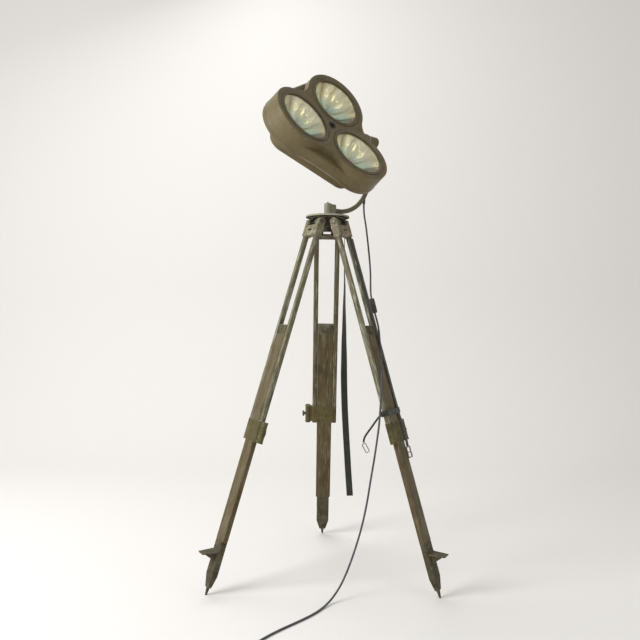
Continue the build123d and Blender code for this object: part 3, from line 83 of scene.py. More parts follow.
def leg_frame(azimuth):
    """Hinge pin at the origin, X along the pin, Z up the leg, Y out of the leg's outer face."""
    hinge = Matrix.Translation((0, HINGE_CIRCLE, HINGE_Z))
    return TRIPOD @ rot(azimuth - 90, "Z") @ hinge @ Matrix.Rotation(LEG_SLOPE, 4, "X")


def arm_frame():
    return TRIPOD @ rot(ARM_AZIMUTH, "Z")


def head_frame():
    return arm_frame() @ Matrix.Translation((HEAD_SHIFT, 0, PIVOT_Z)) @ rot(90 - HEAD_ELEVATION, "X")


# Camera

EYE = (-0.0269, -2.7237 + AXIS_Y, 1.0049)
EYE_YAW = 0.07
EYE_DIP = 0.78
EYE_ROLL = 0.78
FOCAL_PIXELS = 711
PICTURE_PIXELS = 640
SENSOR_WIDTH = 36
FARTHEST_SEEN = 60


def aim_camera():
    """The photograph's eye: place, small turn, dip and roll, and its focal length."""
    yaw, dip, roll = (math.radians(a) for a in (EYE_YAW, EYE_DIP, EYE_ROLL))
    ahead = Vector((math.sin(yaw) * math.cos(dip), math.cos(yaw) * math.cos(dip), -math.sin(dip)))
    right = Vector((math.cos(yaw), -math.sin(yaw), 0))
    up = right.cross(ahead)
    across = right * math.cos(roll) + up * math.sin(roll)
    top = up * math.cos(roll) - right * math.sin(roll)
    data = bpy.data.cameras.new("camera")
    data.sensor_width = SENSOR_WIDTH
    data.lens = FOCAL_PIXELS * SENSOR_WIDTH / PICTURE_PIXELS
    data.clip_end = FARTHEST_SEEN
    camera = bpy.data.objects.new("camera", data)
    bpy.context.scene.collection.objects.link(camera)
    turn = Matrix((across, top, -ahead)).transposed().to_4x4()
    camera.matrix_world = Matrix.Translation(EYE) @ turn
    bpy.context.scene.camera = camera


# Materials

Paint = namedtuple("Paint", "base light dark worn")
# The mix node has sockets of one name for each kind of value; these are the ones for colours
MIX_COLOUR_A = 6
MIX_COLOUR_B = 7
MIX_COLOUR_OUT = 2
GRAIN_STRETCH = 0.06
# Painted reflection in the lamp bowls' colour: the mirrored room and warm floor; the green is partly the
# bowls' own tint.
BOWL_GREEN_TINT_AND_PAINTED_REFLECTION = (0.68, 0.78, 0.62)
BOWL_WARM_PAINTED_REFLECTION = (0.98, 0.80, 0.48)
BOWL_RIM_PAINTED_REFLECTION = (1.0, 0.84, 0.56)
BOWL_FLUTES = 9.0


class Look:
    """A node material that is built up from a few small steps."""

    def __init__(self, name):
        self.mat = bpy.data.materials.new(name)
        self.mat.use_nodes = True
        self.tree = self.mat.node_tree
        self.bsdf = self.tree.nodes["Principled BSDF"]

    def node(self, kind, **settings):
        made = self.tree.nodes.new(kind)
        for key, value in settings.items():
            setattr(made, key, value)
        return made

    def feed(self, socket, value):
        if isinstance(value, bpy.types.NodeSocket):
            self.tree.links.new(value, socket)
        elif socket.type == "RGBA" and len(value) == 3:
            socket.default_value = (*value, 1)
        else:
            socket.default_value = value

    def set(self, **values):
        for key, value in values.items():
            self.feed(self.bsdf.inputs[key.replace("_", " ")], value)

    def place(self, matrix=None, scale=(1, 1, 1)):
        """Object coordinates, seen from a frame of the part and stretched."""
        coordinate = self.node("ShaderNodeTexCoord").outputs["Object"]
        if matrix is not None:
            local = self.node("ShaderNodeMapping", vector_type="TEXTURE")
            self.feed(local.inputs["Vector"], coordinate)
            local.inputs["Location"].default_value = matrix.to_translation()
            local.inputs["Rotation"].default_value = matrix.to_euler()
            coordinate = local.outputs["Vector"]
        stretch = self.node("ShaderNodeMapping")
        self.feed(stretch.inputs["Vector"], coordinate)
        stretch.inputs["Scale"].default_value = scale
        return stretch.outputs["Vector"]

    def noise(self, vector, scale, detail=4, rough=0.55, bend=0.0):
        made = self.node("ShaderNodeTexNoise")
        self.feed(made.inputs["Vector"], vector)
        made.inputs["Scale"].default_value = scale
        made.inputs["Detail"].default_value = detail
        made.inputs["Roughness"].default_value = rough
        made.inputs["Distortion"].default_value = bend
        return made.outputs["Fac"]

    def ramp(self, fac, *stops):
        made = self.node("ShaderNodeValToRGB")
        self.feed(made.inputs["Fac"], fac)
        line = made.color_ramp.elements
        while len(line) < len(stops):
            line.new(0.5)
        for element, (place, colour) in zip(line, stops):
            element.position = place
            rgb = (colour, colour, colour) if isinstance(colour, (int, float)) else colour
            element.color = (*rgb, 1)
        return made.outputs["Color"]

    def fade(self, fac, start, end, top=1.0, foot=0.0):
        """Rises from foot to top while fac goes from start to end."""
        return self.ramp(fac, (start, foot), (end, top))

    def mix(self, fac, a, b):
        made = self.node("ShaderNodeMix", data_type="RGBA")
        self.feed(made.inputs["Factor"], fac)
        self.feed(made.inputs[MIX_COLOUR_A], a)
        self.feed(made.inputs[MIX_COLOUR_B], b)
        return made.outputs[MIX_COLOUR_OUT]

    def math(self, how, a, b=0.0):
        made = self.node("ShaderNodeMath", operation=how)
        self.feed(made.inputs[0], a)
        self.feed(made.inputs[1], b)
        return made.outputs[0]

    def times(self, a, b):
        return self.math("MULTIPLY", a, b)

    def plus(self, a, b):
        return self.math("ADD", a, b)

    def parts(self, vector):
        """The X, Y and Z of a vector."""
        split = self.node("ShaderNodeSeparateXYZ")
        self.feed(split.inputs["Vector"], vector)
        return split.outputs["X"], split.outputs["Y"], split.outputs["Z"]

    def edges(self, radius, low=0.02, high=0.22):
        """1 along the outer and inner edges of the solid, 0 on its faces."""
        soft = self.node("ShaderNodeBevel", samples=6)
        soft.inputs["Radius"].default_value = radius
        flat = self.node("ShaderNodeNewGeometry").outputs["Normal"]
        dot = self.node("ShaderNodeVectorMath", operation="DOT_PRODUCT")
        self.feed(dot.inputs[0], soft.outputs["Normal"])
        self.feed(dot.inputs[1], flat)
        lift = self.math("SUBTRACT", 1.0, dot.outputs["Value"])
        return self.fade(lift, low, high)

    def bump(self, height, distance, strength=1.0):
        made = self.node("ShaderNodeBump")
        made.inputs["Strength"].default_value = strength
        made.inputs["Distance"].default_value = distance
        self.feed(made.inputs["Height"], height)
        self.feed(self.bsdf.inputs["Normal"], made.outputs["Normal"])


def dress(names, look):
    for name in names:
        mesh = nodes[name].data
        mesh.materials.clear()
        mesh.materials.append(look.mat)


def enamel(name, paint, matrix, wear=0.4, shine=0.42):
    """Smooth old enamel on metal, with clouding, small chips and rubbed edges."""
    look = Look(name)
    at = look.place(matrix)
    clouds = look.noise(at, scale=9, detail=5, rough=0.6)
    grime = look.noise(at, scale=31, detail=6, rough=0.7, bend=0.6)
    chips = look.noise(at, scale=160, detail=3, rough=0.6)
    patches = look.noise(at, scale=60, detail=5, rough=0.7)
    rub = look.times(look.edges(0.0035), look.fade(patches, 0.42, 0.6, top=wear))
    colour = look.mix(look.fade(clouds, 0.35, 0.68), paint.base, paint.light)
    colour = look.mix(look.fade(grime, 0.52, 0.75, top=0.55), colour, paint.dark)
    colour = look.mix(rub, colour, paint.worn)
    colour = look.mix(look.fade(chips, 0.70, 0.76, top=0.35 * wear), colour, paint.worn)
    rough = look.fade(grime, 0.3, 0.8, foot=shine, top=shine + 0.22)
    look.set(Base_Color=colour, Roughness=rough, Specular_IOR_Level=0.28)
    look.bump(look.noise(at, scale=420, detail=3, rough=0.5), distance=0.0004, strength=0.25)
    return look


def casting(name, paint, matrix, wear=0.8, rough=0.55, underside_shade=None):
    """Painted casting: uneven, worn pale at the edges, with a grain, and if asked with painted shade on its
    faces that point down.
    """
    look = Look(name)
    at = look.place(matrix)
    clouds = look.noise(at, scale=22, detail=6, rough=0.65)
    grime = look.noise(at, scale=55, detail=6, rough=0.75, bend=0.8)
    patches = look.fade(look.noise(at, scale=38, detail=8, rough=0.8), 0.56, 0.66, top=wear * 0.6)
    scuffs = look.noise(at, scale=90, detail=5, rough=0.7)
    rub = look.times(look.edges(0.004), look.fade(scuffs, 0.4, 0.58, top=wear))
    colour = look.mix(look.fade(clouds, 0.35, 0.65), paint.base, paint.light)
    colour = look.mix(look.fade(grime, 0.5, 0.66, top=0.8), colour, paint.dark)
    colour = look.mix(look.math("MAXIMUM", patches, rub), colour, paint.worn)
    # Painted shade: faces that point down are darkened towards the given colour, which stands for the shadow
    # under the part.
    if underside_shade is not None:
        _, _, up = look.parts(look.node("ShaderNodeNewGeometry").outputs["Normal"])
        colour = look.mix(look.fade(look.times(up, -1.0), 0.15, 0.55, top=0.95), colour, underside_shade)
    dull = look.fade(grime, 0.3, 0.7, foot=rough, top=rough + 0.25)
    look.set(Base_Color=colour, Roughness=dull, Specular_IOR_Level=0.2)
    look.bump(look.noise(at, scale=500, detail=4, rough=0.6), distance=0.0006, strength=0.4)
    return look


def board(name, paint, matrix, wear=0.7, rough=0.5, side=None):
    """Painted wood, grain along the leg, paint rubbed off its edges, and if asked darker on one side."""
    look = Look(name)
    along = look.place(matrix, (1, 1, GRAIN_STRETCH))
    at = look.place(matrix)
    grain = look.noise(along, scale=130, detail=6, rough=0.7, bend=0.3)
    broad = look.noise(along, scale=32, detail=4, rough=0.6, bend=0.4)
    stain = look.noise(at, scale=14, detail=5, rough=0.6)
    colour = look.mix(look.fade(broad, 0.36, 0.66), paint.base, paint.light)
    colour = look.mix(look.fade(grain, 0.50, 0.70, top=0.75), colour, paint.dark)
    if side is not None:
        x, _, _ = look.parts(at)
        shaded = look.mix(look.fade(grain, 0.4, 0.65), side, paint.dark)
        colour = look.mix(look.fade(look.times(x, -20.0), 0.4, 0.6, top=0.9), colour, shaded)
    streak = look.fade(look.noise(along, scale=240, detail=3, rough=0.7), 0.54, 0.62, top=0.9 * wear)
    scuffs = look.noise(along, scale=70, detail=6, rough=0.8)
    rub = look.times(look.edges(0.005, 0.01, 0.15), look.fade(scuffs, 0.42, 0.56, top=wear))
    colour = look.mix(look.math("MAXIMUM", streak, rub), colour, paint.worn)
    colour = look.mix(look.fade(stain, 0.55, 0.72, top=0.5), colour, paint.dark)
    dull = look.fade(stain, 0.35, 0.7, foot=rough, top=rough + 0.2)
    look.set(Base_Color=colour, Roughness=dull, Specular_IOR_Level=0.2)
    look.bump(grain, distance=0.0005, strength=0.3)
    return look


def bare_metal(name, base, dark, rough):
    """Unpainted metal, dulled in clouds."""
    look = Look(name)
    at = look.place()
    cloud = look.noise(at, scale=90, detail=6, rough=0.7)
    dull = look.fade(cloud, 0.3, 0.7, foot=rough, top=rough + 0.25)
    look.set(Base_Color=look.mix(look.fade(cloud, 0.4, 0.65), base, dark), Roughness=dull, Metallic=1.0)
    look.bump(look.noise(at, scale=600, detail=3, rough=0.6), distance=0.0002, strength=0.2)
    return look


def moulding(name, base, light, rough=0.5):
    """Rubber, plastic or ceramic with dust on it."""
    look = Look(name)
    at = look.place()
    dust = look.noise(at, scale=45, detail=5, rough=0.7)
    look.set(Base_Color=look.mix(look.fade(dust, 0.45, 0.75), base, light))
    look.set(Roughness=look.fade(dust, 0.3, 0.7, foot=rough, top=rough + 0.15))
    look.bump(look.noise(at, scale=900, detail=3, rough=0.6), distance=0.0002, strength=0.25)
    return look


def webbing(name, base, light, dark):
    """Woven webbing: fine ribs across the band, from the band's own coordinates."""
    look = Look(name)
    band = look.node("ShaderNodeUVMap", uv_map="band").outputs["UV"]
    ribs = look.node("ShaderNodeTexWave", wave_type="BANDS", bands_direction="Y")
    look.feed(ribs.inputs["Vector"], band)
    ribs.inputs["Scale"].default_value = 95
    ribs.inputs["Distortion"].default_value = 0.6
    ribs.inputs["Detail"].default_value = 1
    lines = look.node("ShaderNodeTexWave", wave_type="BANDS", bands_direction="X")
    look.feed(lines.inputs["Vector"], band)
    lines.inputs["Scale"].default_value = 85
    lines.inputs["Distortion"].default_value = 0.3
    weave = look.times(ribs.outputs["Fac"], lines.outputs["Fac"])
    faded = look.noise(look.place(), scale=26, detail=5, rough=0.65)
    colour = look.mix(look.fade(faded, 0.38, 0.68), base, light)
    colour = look.mix(look.fade(weave, 0.0, 0.6, foot=0.55, top=0.0), colour, dark)
    look.set(Base_Color=colour, Roughness=0.85, Sheen_Weight=0.25, Sheen_Roughness=0.5)
    look.bump(weave, distance=0.0006, strength=0.7)
    return look


def glass(name, tint):
    """Clear glass that lets light through to what lies behind it."""
    look = Look(name)
    look.set(Base_Color=tint, Roughness=0.02, IOR=1.45, Transmission_Weight=1.0)
    clear = look.node("ShaderNodeBsdfTransparent")
    clear.inputs["Color"].default_value = (*tint, 1)
    ray = look.node("ShaderNodeLightPath").outputs["Is Shadow Ray"]
    both = look.node("ShaderNodeMixShader")
    look.feed(both.inputs["Fac"], ray)
    look.tree.links.new(look.bsdf.outputs["BSDF"], both.inputs[1])
    look.tree.links.new(clear.outputs["BSDF"], both.inputs[2])
    out = next(n for n in look.tree.nodes if n.type == "OUTPUT_MATERIAL")
    look.tree.links.new(both.outputs["Shader"], out.inputs["Surface"])
    return look


def reflector(name, matrix, low):
    """Polished bowl, a little tarnished, with painted reflection in its colour: cool below, green in the
    middle, warm at the top and the rim.
    """
    look = Look(name)
    x, y, _ = look.parts(look.place(matrix, (10, 10, 10)))
    cloud = look.noise(look.place(matrix), scale=16, detail=5, rough=0.65, bend=0.8)
    # Painted reflection: the colour runs across the bowl from cool below, through green, to warm at the top.
    slant = look.plus(look.times(x, 0.26), look.times(y, 0.34))
    rise = look.plus(look.plus(slant, look.times(cloud, 0.6)), 0.2)
    tint = look.ramp(rise, (0.34, low), (0.60, BOWL_GREEN_TINT_AND_PAINTED_REFLECTION), (0.82, BOWL_WARM_PAINTED_REFLECTION))
    reach = look.math("SQRT", look.plus(look.times(x, x), look.times(y, y)))
    # Painted reflection of the warm floor near the bowl's rim.
    tint = look.mix(look.fade(reach, 0.78, 0.93, top=0.8), tint, BOWL_RIM_PAINTED_REFLECTION)
    dull = look.fade(cloud, 0.3, 0.7, foot=0.05, top=0.16)
    look.set(Base_Color=tint, Metallic=1.0, Roughness=dull)
    turn = look.times(look.math("ARCTAN2", y, x), BOWL_FLUTES)
    flutes = look.math("SINE", look.plus(turn, look.times(cloud, 5.0)))
    look.bump(look.times(flutes, reach), distance=0.0030)
    return look


def frosted(name, base):
    """Frosted bulb glass with a faint coat."""
    look = Look(name)
    haze = look.noise(look.place(), scale=80)
    look.set(Base_Color=base, Roughness=look.fade(haze, 0.3, 0.7, foot=0.12, top=0.22), Coat_Weight=0.4)
    return look


# Bands and cords

BAND_CELLS = 6
BAND_CROWN = 0.35
BAND_UV_SCALE = 10


def band_ring(shape, row, travelled):
    """One cross-section, thinner at its two edges: vertices with their place across and along the band."""
    middle, across, out, width = row
    ring = []
    for side in (1, -1):
        for k in range(BAND_CELLS + 1):
            share = (k / BAND_CELLS - 0.5) * side
            crown = 1 - BAND_CROWN * abs(2 * share) ** 4
            at = middle + across * (share * width) + out * (side * WEBBING_THICKNESS / 2 * crown)
            ring.append((shape.verts.new(at), share * width, travelled))
    return ring


def band_mesh(name, rows, look, body):
    """A closed band through rows of (middle, across, out, width), with its own coordinates."""
    mesh = bpy.data.meshes.new(name)
    shape = bmesh.new()
    uv = shape.loops.layers.uv.new("band")
    rings, travelled = [], 0.0
    for before, row in zip([rows[0]] + rows, rows):
        travelled += (row[0] - before[0]).length
        rings.append(band_ring(shape, row, travelled))
    for a, b in zip(rings, rings[1:]):
        for i in range(len(a)):
            j = (i + 1) % len(a)
            quad = (a[i], a[j], b[j], b[i])
            face = shape.faces.new([corner[0] for corner in quad])
            for loop, (_, side, along) in zip(face.loops, quad):
                loop[uv].uv = (side * BAND_UV_SCALE, along * BAND_UV_SCALE)
            face.smooth = True
    for ring, flip in ((rings[0], True), (rings[-1], False)):
        verts = [corner[0] for corner in ring]
        face = shape.faces.new(verts[::-1] if flip else verts)
        for loop in face.loops:
            loop[uv].uv = (0, 0)
    shape.normal_update()
    bmesh.ops.recalc_face_normals(shape, faces=shape.faces)
    shape.to_mesh(mesh)
    shape.free()
    mesh.materials.append(look.mat)
    piece = bpy.data.objects.new(name, mesh)
    bpy.context.scene.collection.objects.link(piece)
    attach(piece, body)
    return piece


def smooth_line(points, count):
    """Points along a soft curve through the given ones."""
    made = []
    last = len(points) - 1
    for i in range(last):
        p0, p1, p2, p3 = (points[max(0, min(last, k))] for k in (i - 1, i, i + 1, i + 2))
        bend = 2 * p0 - 5 * p1 + 4 * p2 - p3
        twist = 3 * p1 - p0 - 3 * p2 + p3
        for k in range(count):
            t = k / count
            made.append(0.5 * (2 * p1 + (p2 - p0) * t + bend * t**2 + twist * t**3))
    made.append(points[-1])
    return made


def ripple(at, *waves):
    """A small uneven sway, the sum of waves given as (height, radians per unit)."""
    return sum(height * math.sin(at * rate) for height, rate in waves)


# Route of the mains cord from the gland down to the floor and up to its coil
GLAND_X = GLAND_REACH * math.cos(math.radians(ARM_AZIMUTH))
GLAND_Y = GLAND_REACH * math.sin(math.radians(ARM_AZIMUTH))
CORD_ROUTE = [
    (GLAND_X, GLAND_Y, GLAND_FOOT_Z),
    (GLAND_X, GLAND_Y, GLAND_FOOT_Z - GLAND_RUN),
    (0.155, 0.130, 1.350),
    (0.162, 0.117, 1.290),
    (0.168, 0.097, 1.225),
    (0.1725, 0.073, 1.160),
    (0.1715, 0.046, 1.104),
    (0.171, 0.023, 1.061),
    (0.1864, -0.027, 0.989),
    (0.196, -0.0705, 0.944),
    (0.199, -0.095, 0.888),
    (0.206, -0.133, 0.815),
    (0.201, -0.172, 0.745),
    (0.196, -0.197, 0.675),
    (0.192, -0.204, 0.606),
    (0.1835, -0.210, 0.540),
    (0.174, -0.215, 0.475),
    (0.162, -0.221, 0.403),
    (0.1495, -0.227, 0.320),
    (0.132, -0.234, 0.240),
    (0.109, -0.241, 0.163),
    (0.084, -0.250, 0.095),
    (0.060, -0.263, 0.046),
    (0.031, -0.290, 0.013),
    (0.003, -0.338, CORD_FLOOR_Z),
    (-0.032, -0.396, CORD_FLOOR_Z),
    (-0.080, -0.452, CORD_FLOOR_Z),
    (-0.137, -0.513, CORD_FLOOR_Z),
    (-0.190, -0.580, CORD_FLOOR_Z),
    (-0.226, -0.648, CORD_FLOOR_Z),
]
COIL_TURN_POINTS = 8


def coil_points():
    """Half turns that spiral in, climb one layer and spiral out again, then a straight tail."""
    place = Vector(CORD_ROUTE[-1])
    ahead = place - Vector(CORD_ROUTE[-2])
    ahead.z = 0
    ahead.normalize()
    place = place + ahead * CORD_RADIUS * 2
    side = Vector((0, 0, 1)).cross(ahead)
    turns_in = [COIL_RADIUS - COIL_PITCH / 2 * i for i in range(COIL_HALF_TURNS_IN)]
    innermost = COIL_RADIUS - COIL_PITCH / 2 * COIL_HALF_TURNS_IN
    made = [place]
    for i, radius in enumerate(turns_in + [innermost] + turns_in[:0:-1]):
        rise = COIL_PITCH if i == COIL_HALF_TURNS_IN else 0.0
        for k in range(1, COIL_TURN_POINTS + 1):
            angle = math.pi * k / COIL_TURN_POINTS
            swell = 1 / math.cos(math.pi / COIL_TURN_POINTS / 2) if k < COIL_TURN_POINTS else 1.0
            over = radius * (1 - math.cos(angle) * swell)
            step = side * over + ahead * (radius * math.sin(angle) * swell)
            made.append(place + step + Vector((0, 0, rise * k / COIL_TURN_POINTS)))
        place = place + side * (2 * radius) + Vector((0, 0, rise))
        ahead, side = ahead * -1, side * -1
    made.append(place + ahead * COIL_TAIL * 0.5)
    made.append(place + ahead * COIL_TAIL)
    return made


def make_cord(look):
    """The free cord from the gland to the plug, as one tube."""
    points = [Vector(p) for p in CORD_ROUTE] + coil_points()
    points = [TRIPOD @ p for p in points]
    data = bpy.data.curves.new("mains_cord", "CURVE")
    data.dimensions = "3D"
    data.bevel_depth = CORD_RADIUS
    data.bevel_resolution = 5
    data.use_fill_caps = True
    line = data.splines.new("NURBS")
    line.points.add(len(points) - 1)
    for point, at in zip(line.points, points):
        point.co = (*at, 1)
    line.order_u = 3
    line.use_endpoint_u = True
    line.resolution_u = 8
    cord = bpy.data.objects.new("mains_cord", data)
    bpy.context.scene.collection.objects.link(cord)
    cord.data.materials.append(look.mat)
    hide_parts("power_cord", "cord_coil")
    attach(cord, "tripod_head")


aim_camera()
make_cord(moulding("sheath", (0.050, 0.047, 0.053), (0.095, 0.09, 0.095)))


# Webbing pieces

# Height and place of the hanging strap's middle
HANGING_ROUTE = [
    (1.3362, 0.067, 0.039),
    (1.150, 0.069, 0.039),
    (0.960, 0.071, 0.039),
    (0.760, 0.0725, 0.039),
    (0.600, 0.079, 0.039),
    (0.440, 0.090, 0.039),
    (0.284, 0.102, 0.039),
]
HANGING_TURN_TOP = 90
HANGING_TWIST = 80
HANGING_STEPS = 14
# Distance out of the leg and height on it, measured from the hinge pin
CARRY_ROUTE = [
    (0.0115, -0.062),
    (0.0115, -0.745),
    (0.0120, -0.757),
    (0.0134, -0.766),
    (0.0135, -0.847),
    (0.0120, -0.868),
]
CARRY_STEP = 0.012
TIE_STEP = 0.006
# Place from left to right and height of the narrow loose end
TIE_TAIL_ROUTE = [(0.2098, 0.6379), (0.192, 0.626), (0.168, 0.592), (0.143, 0.555), (0.138, 0.534)]
TIE_TAIL_STEPS = 10


def make_hanging_strap(look):
    """Hangs from the wire keeper and twists its flat side to the front on the way down."""
    places = smooth_line([TRIPOD @ Vector((x, y, z)) for z, x, y in HANGING_ROUTE], HANGING_STEPS)
    rows = []
    for i, place in enumerate(places):
        share = i / (len(places) - 1)
        turn = math.radians(HANGING_TURN_TOP - HANGING_TWIST * min(1.0, share * 2) ** 2)
        across = Vector((math.cos(turn), math.sin(turn), 0))
        out = Vector((-across.y, across.x, 0))
        rows.append((place + out * ripple(share, (0.0006, 23), (0.0004, 51)), across, out, HANGING_WIDTH))
    strap = band_mesh("hanging_webbing", rows, look, "tripod_head")
    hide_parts("hanging_strap")


def make_carry_strap(look):
    """Runs down the outer face of the right leg and over its collar."""
    leg = leg_frame(LEG_AZIMUTHS[2])
    across = leg.to_3x3() @ Vector((1, 0, 0))
    out = leg.to_3x3() @ Vector((0, 1, 0))
    places = []
    for (y0, z0), (y1, z1) in zip(CARRY_ROUTE, CARRY_ROUTE[1:]):
        steps = max(1, int((z0 - z1) / CARRY_STEP))
        places += [(y0 + (y1 - y0) * k / steps, z0 + (z1 - z0) * k / steps) for k in range(steps)]
    places.append(CARRY_ROUTE[-1])
    rows = []
    for y, z in places:
        lift = ripple(z, (0.00015, 60), (0.0001, 143))
        middle = leg @ Vector((CARRY_MIDDLE_X + ripple(z, (0.0003, 37)), y + lift, z))
        rows.append((middle, across, out, CARRY_WIDTH))
    strap = band_mesh("carry_webbing", rows, look, "leg_3")
    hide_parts("carry_strap")


def tie_outline():
    """The rounded rectangle round the leg as close points: x, y and the direction of its outer side."""
    ring = []
    for side_x, side_y, start in ((1, 1, 0), (-1, 1, 90), (-1, -1, 180), (1, -1, 270)):
        for k in range(4):
            turn = math.radians(start + 30 * k)
            x = side_x * (TIE_HALF_X - TIE_CORNER) + TIE_CORNER * math.cos(turn)
            y = side_y * (TIE_HALF_Y - TIE_CORNER) + TIE_CORNER * math.sin(turn)
            ring.append((x, y, turn))
    dense = []
    for (x0, y0, turn0), (x1, y1, turn1) in zip(ring, ring[1:] + ring[:1]):
        steps = max(1, int(math.hypot(x1 - x0, y1 - y0) / TIE_STEP))
        for k in range(steps):
            share = k / steps
            turn = turn0 + ((turn1 - turn0) % math.tau) * share
            dense.append((x0 + (x1 - x0) * share, y0 + (y1 - y0) * share, turn))
    return dense + dense[:1]


def make_tie_tail(look):
    """The narrow loose end of the tie strap, its flat side to the back and front."""
    out = Vector((0, 1, 0))
    line = smooth_line([TRIPOD @ Vector((x, TIE_TAIL_Y, z)) for x, z in TIE_TAIL_ROUTE], TIE_TAIL_STEPS)
    rows = []
    for i, place in enumerate(line):
        ahead = (line[min(i + 1, len(line) - 1)] - line[max(i - 1, 0)]).normalized()
        rows.append((place, ahead.cross(out), out, TIE_TAIL_WIDTH))
    return band_mesh("tie_tail", rows, look, "leg_3")


def make_tie_strap(look):
    """Goes once round the right leg."""
    leg = leg_frame(LEG_AZIMUTHS[2])
    across = leg.to_3x3() @ Vector((0, 0, 1))
    rows = []
    for x, y, turn in tie_outline():
        out = leg.to_3x3() @ Vector((math.cos(turn), math.sin(turn), 0))
        middle = leg @ Vector((x, y, TIE_MIDDLE_Z + ripple(x, (0.001, 70))))
        rows.append((middle, across, out, TIE_WIDTH))
    strap = band_mesh("tie_webbing", rows, look, "leg_3")
    tail = make_tie_tail(look)
    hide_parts("tie_strap")


cloth = webbing("webbing", (0.030, 0.034, 0.022), (0.048, 0.052, 0.034), (0.012, 0.013, 0.009))
make_hanging_strap(cloth)
make_carry_strap(cloth)
make_tie_strap(cloth)


# Materials of the solids

OLIVE = (0.140, 0.125, 0.072)
OLIVE_LIGHT = (0.240, 0.220, 0.145)
OLIVE_DARK = (0.045, 0.038, 0.018)
PALE = (0.50, 0.46, 0.37)
PINKISH = (0.64, 0.49, 0.38)
# Painted shade for the underside of the top plate.
PAINTED_UNDERSIDE_SHADE = (0.022, 0.018, 0.010)
RAIL_SHADE = (0.075, 0.078, 0.060)
LENS_TINT = (0.93, 0.98, 0.95)
# Painted reflection at the low side of the lamp bowls.
BOWL_BLUE_PAINTED_REFLECTION = (0.42, 0.66, 0.78)
BOWL_GREY_PAINTED_REFLECTION = (0.50, 0.62, 0.56)

PLATE_PAINT = Paint((0.28, 0.27, 0.20), (0.38, 0.36, 0.27), (0.12, 0.11, 0.07), (0.56, 0.53, 0.43))
HUB_PAINT = Paint((0.06, 0.05, 0.03), (0.11, 0.10, 0.06), (0.02, 0.016, 0.01), (0.25, 0.23, 0.16))
SLEEVE_PAINT = Paint((0.24, 0.235, 0.17), (0.31, 0.30, 0.22), (0.11, 0.10, 0.065), (0.46, 0.45, 0.36))
ARM_PAINT = Paint((0.105, 0.088, 0.052), (0.150, 0.128, 0.080), (0.05, 0.04, 0.024), (0.36, 0.33, 0.24))
HEAD_PAINT = Paint((0.118, 0.091, 0.040), (0.156, 0.124, 0.060), (0.066, 0.050, 0.022), (0.42, 0.38, 0.28))
LID_PAINT = HEAD_PAINT._replace(base=(0.110, 0.088, 0.046))
RIM_PAINT = Paint((0.095, 0.074, 0.036), (0.135, 0.108, 0.056), (0.05, 0.04, 0.02), (0.40, 0.36, 0.26))
LEG_HEAD_PAINT = Paint(OLIVE, OLIVE_LIGHT, OLIVE_DARK, PALE)
RAIL_PAINT = Paint((0.112, 0.100, 0.056), (0.170, 0.156, 0.096), (0.036, 0.030, 0.014), (0.46, 0.45, 0.35))
BROWN_PAINT = Paint((0.100, 0.084, 0.044), (0.130, 0.112, 0.064), (0.040, 0.032, 0.014), (0.34, 0.32, 0.23))
COLLAR_PAINT = Paint((0.078, 0.064, 0.022), (0.115, 0.097, 0.038), (0.034, 0.027, 0.010), (0.34, 0.31, 0.20))
BOARD_PAINT = Paint((0.082, 0.060, 0.025), (0.120, 0.094, 0.044), (0.036, 0.026, 0.010), (0.34, 0.31, 0.22))
CAP_PAINT = Paint(OLIVE_DARK, OLIVE, (0.03, 0.024, 0.012), PALE)
SHOE_PAINT = Paint((0.058, 0.048, 0.026), (0.095, 0.080, 0.045), (0.026, 0.021, 0.011), (0.30, 0.27, 0.19))


def dress_tripod_head():
    dress(["top_plate"], casting("plate", PLATE_PAINT, TRIPOD, wear=0.7, rough=0.5, underside_shade=PAINTED_UNDERSIDE_SHADE))
    dress(["hub_spider"], casting("hub", HUB_PAINT, TRIPOD))
    dress(["arm_sleeve"], casting("spindle", SLEEVE_PAINT, TRIPOD, wear=0.5, rough=0.42))


def dress_hardware():
    steel = bare_metal("steel", (0.42, 0.42, 0.38), (0.26, 0.25, 0.20), rough=0.38)
    dress(["swivel_spindle", "lid_screws", "trunnion", "strap_buckle"], steel)
    dark_steel = bare_metal("dark_steel", (0.16, 0.15, 0.12), (0.07, 0.06, 0.045), rough=0.42)
    dress(["hinge_pins", "fixing_screw", "strap_keeper"], dark_steel)
    dress([f"clamp_screw_{number}" for number in (1, 2, 3)], dark_steel)
    dress(["strap_hook"], bare_metal("hook", (0.42, 0.36, 0.30), (0.25, 0.20, 0.16), rough=0.4))


def dress_leg(number, azimuth):
    """Leg 1, at the back, has browner rails; leg 3 a pinkish head and rails dark on the clamp's side."""
    leg = leg_frame(azimuth)
    head_paint = LEG_HEAD_PAINT._replace(worn=PINKISH) if number == 3 else LEG_HEAD_PAINT
    rail_paint = BROWN_PAINT if number == 1 else RAIL_PAINT
    shade = RAIL_SHADE if number == 3 else None
    dress([f"leg_head_{number}"], casting(f"leg_head_{number}", head_paint, leg, wear=0.95))
    dress([f"leg_rails_{number}"], board(f"rails_{number}", rail_paint, leg, wear=0.8, side=shade))
    dress([f"collar_{number}"], casting(f"collar_{number}", COLLAR_PAINT, leg, wear=0.7, rough=0.45))
    dress([f"lower_leg_{number}"], board(f"board_{number}", BOARD_PAINT, leg, wear=0.35, rough=0.42))
    dress([f"slide_cap_{number}"], casting(f"cap_{number}", CAP_PAINT, leg, wear=0.6))
    dress([f"shoe_{number}"], casting(f"shoe_{number}", SHOE_PAINT, leg, wear=0.7, rough=0.5))


def dress_arm_and_head():
    dress(["arm_tube"], enamel("arm", ARM_PAINT, arm_frame(), shine=0.4))
    head_look = enamel("head", HEAD_PAINT, head_frame(), wear=0.35, shine=0.38)
    dress(["front_housing", "rear_shell", "tilt_knuckle"], head_look)
    dress(["rear_lid"], enamel("lid", LID_PAINT, head_frame()))
    rim = enamel("rim", RIM_PAINT, head_frame(), shine=0.36)
    dress([f"retaining_ring_{number}" for number in (1, 2, 3)], rim)


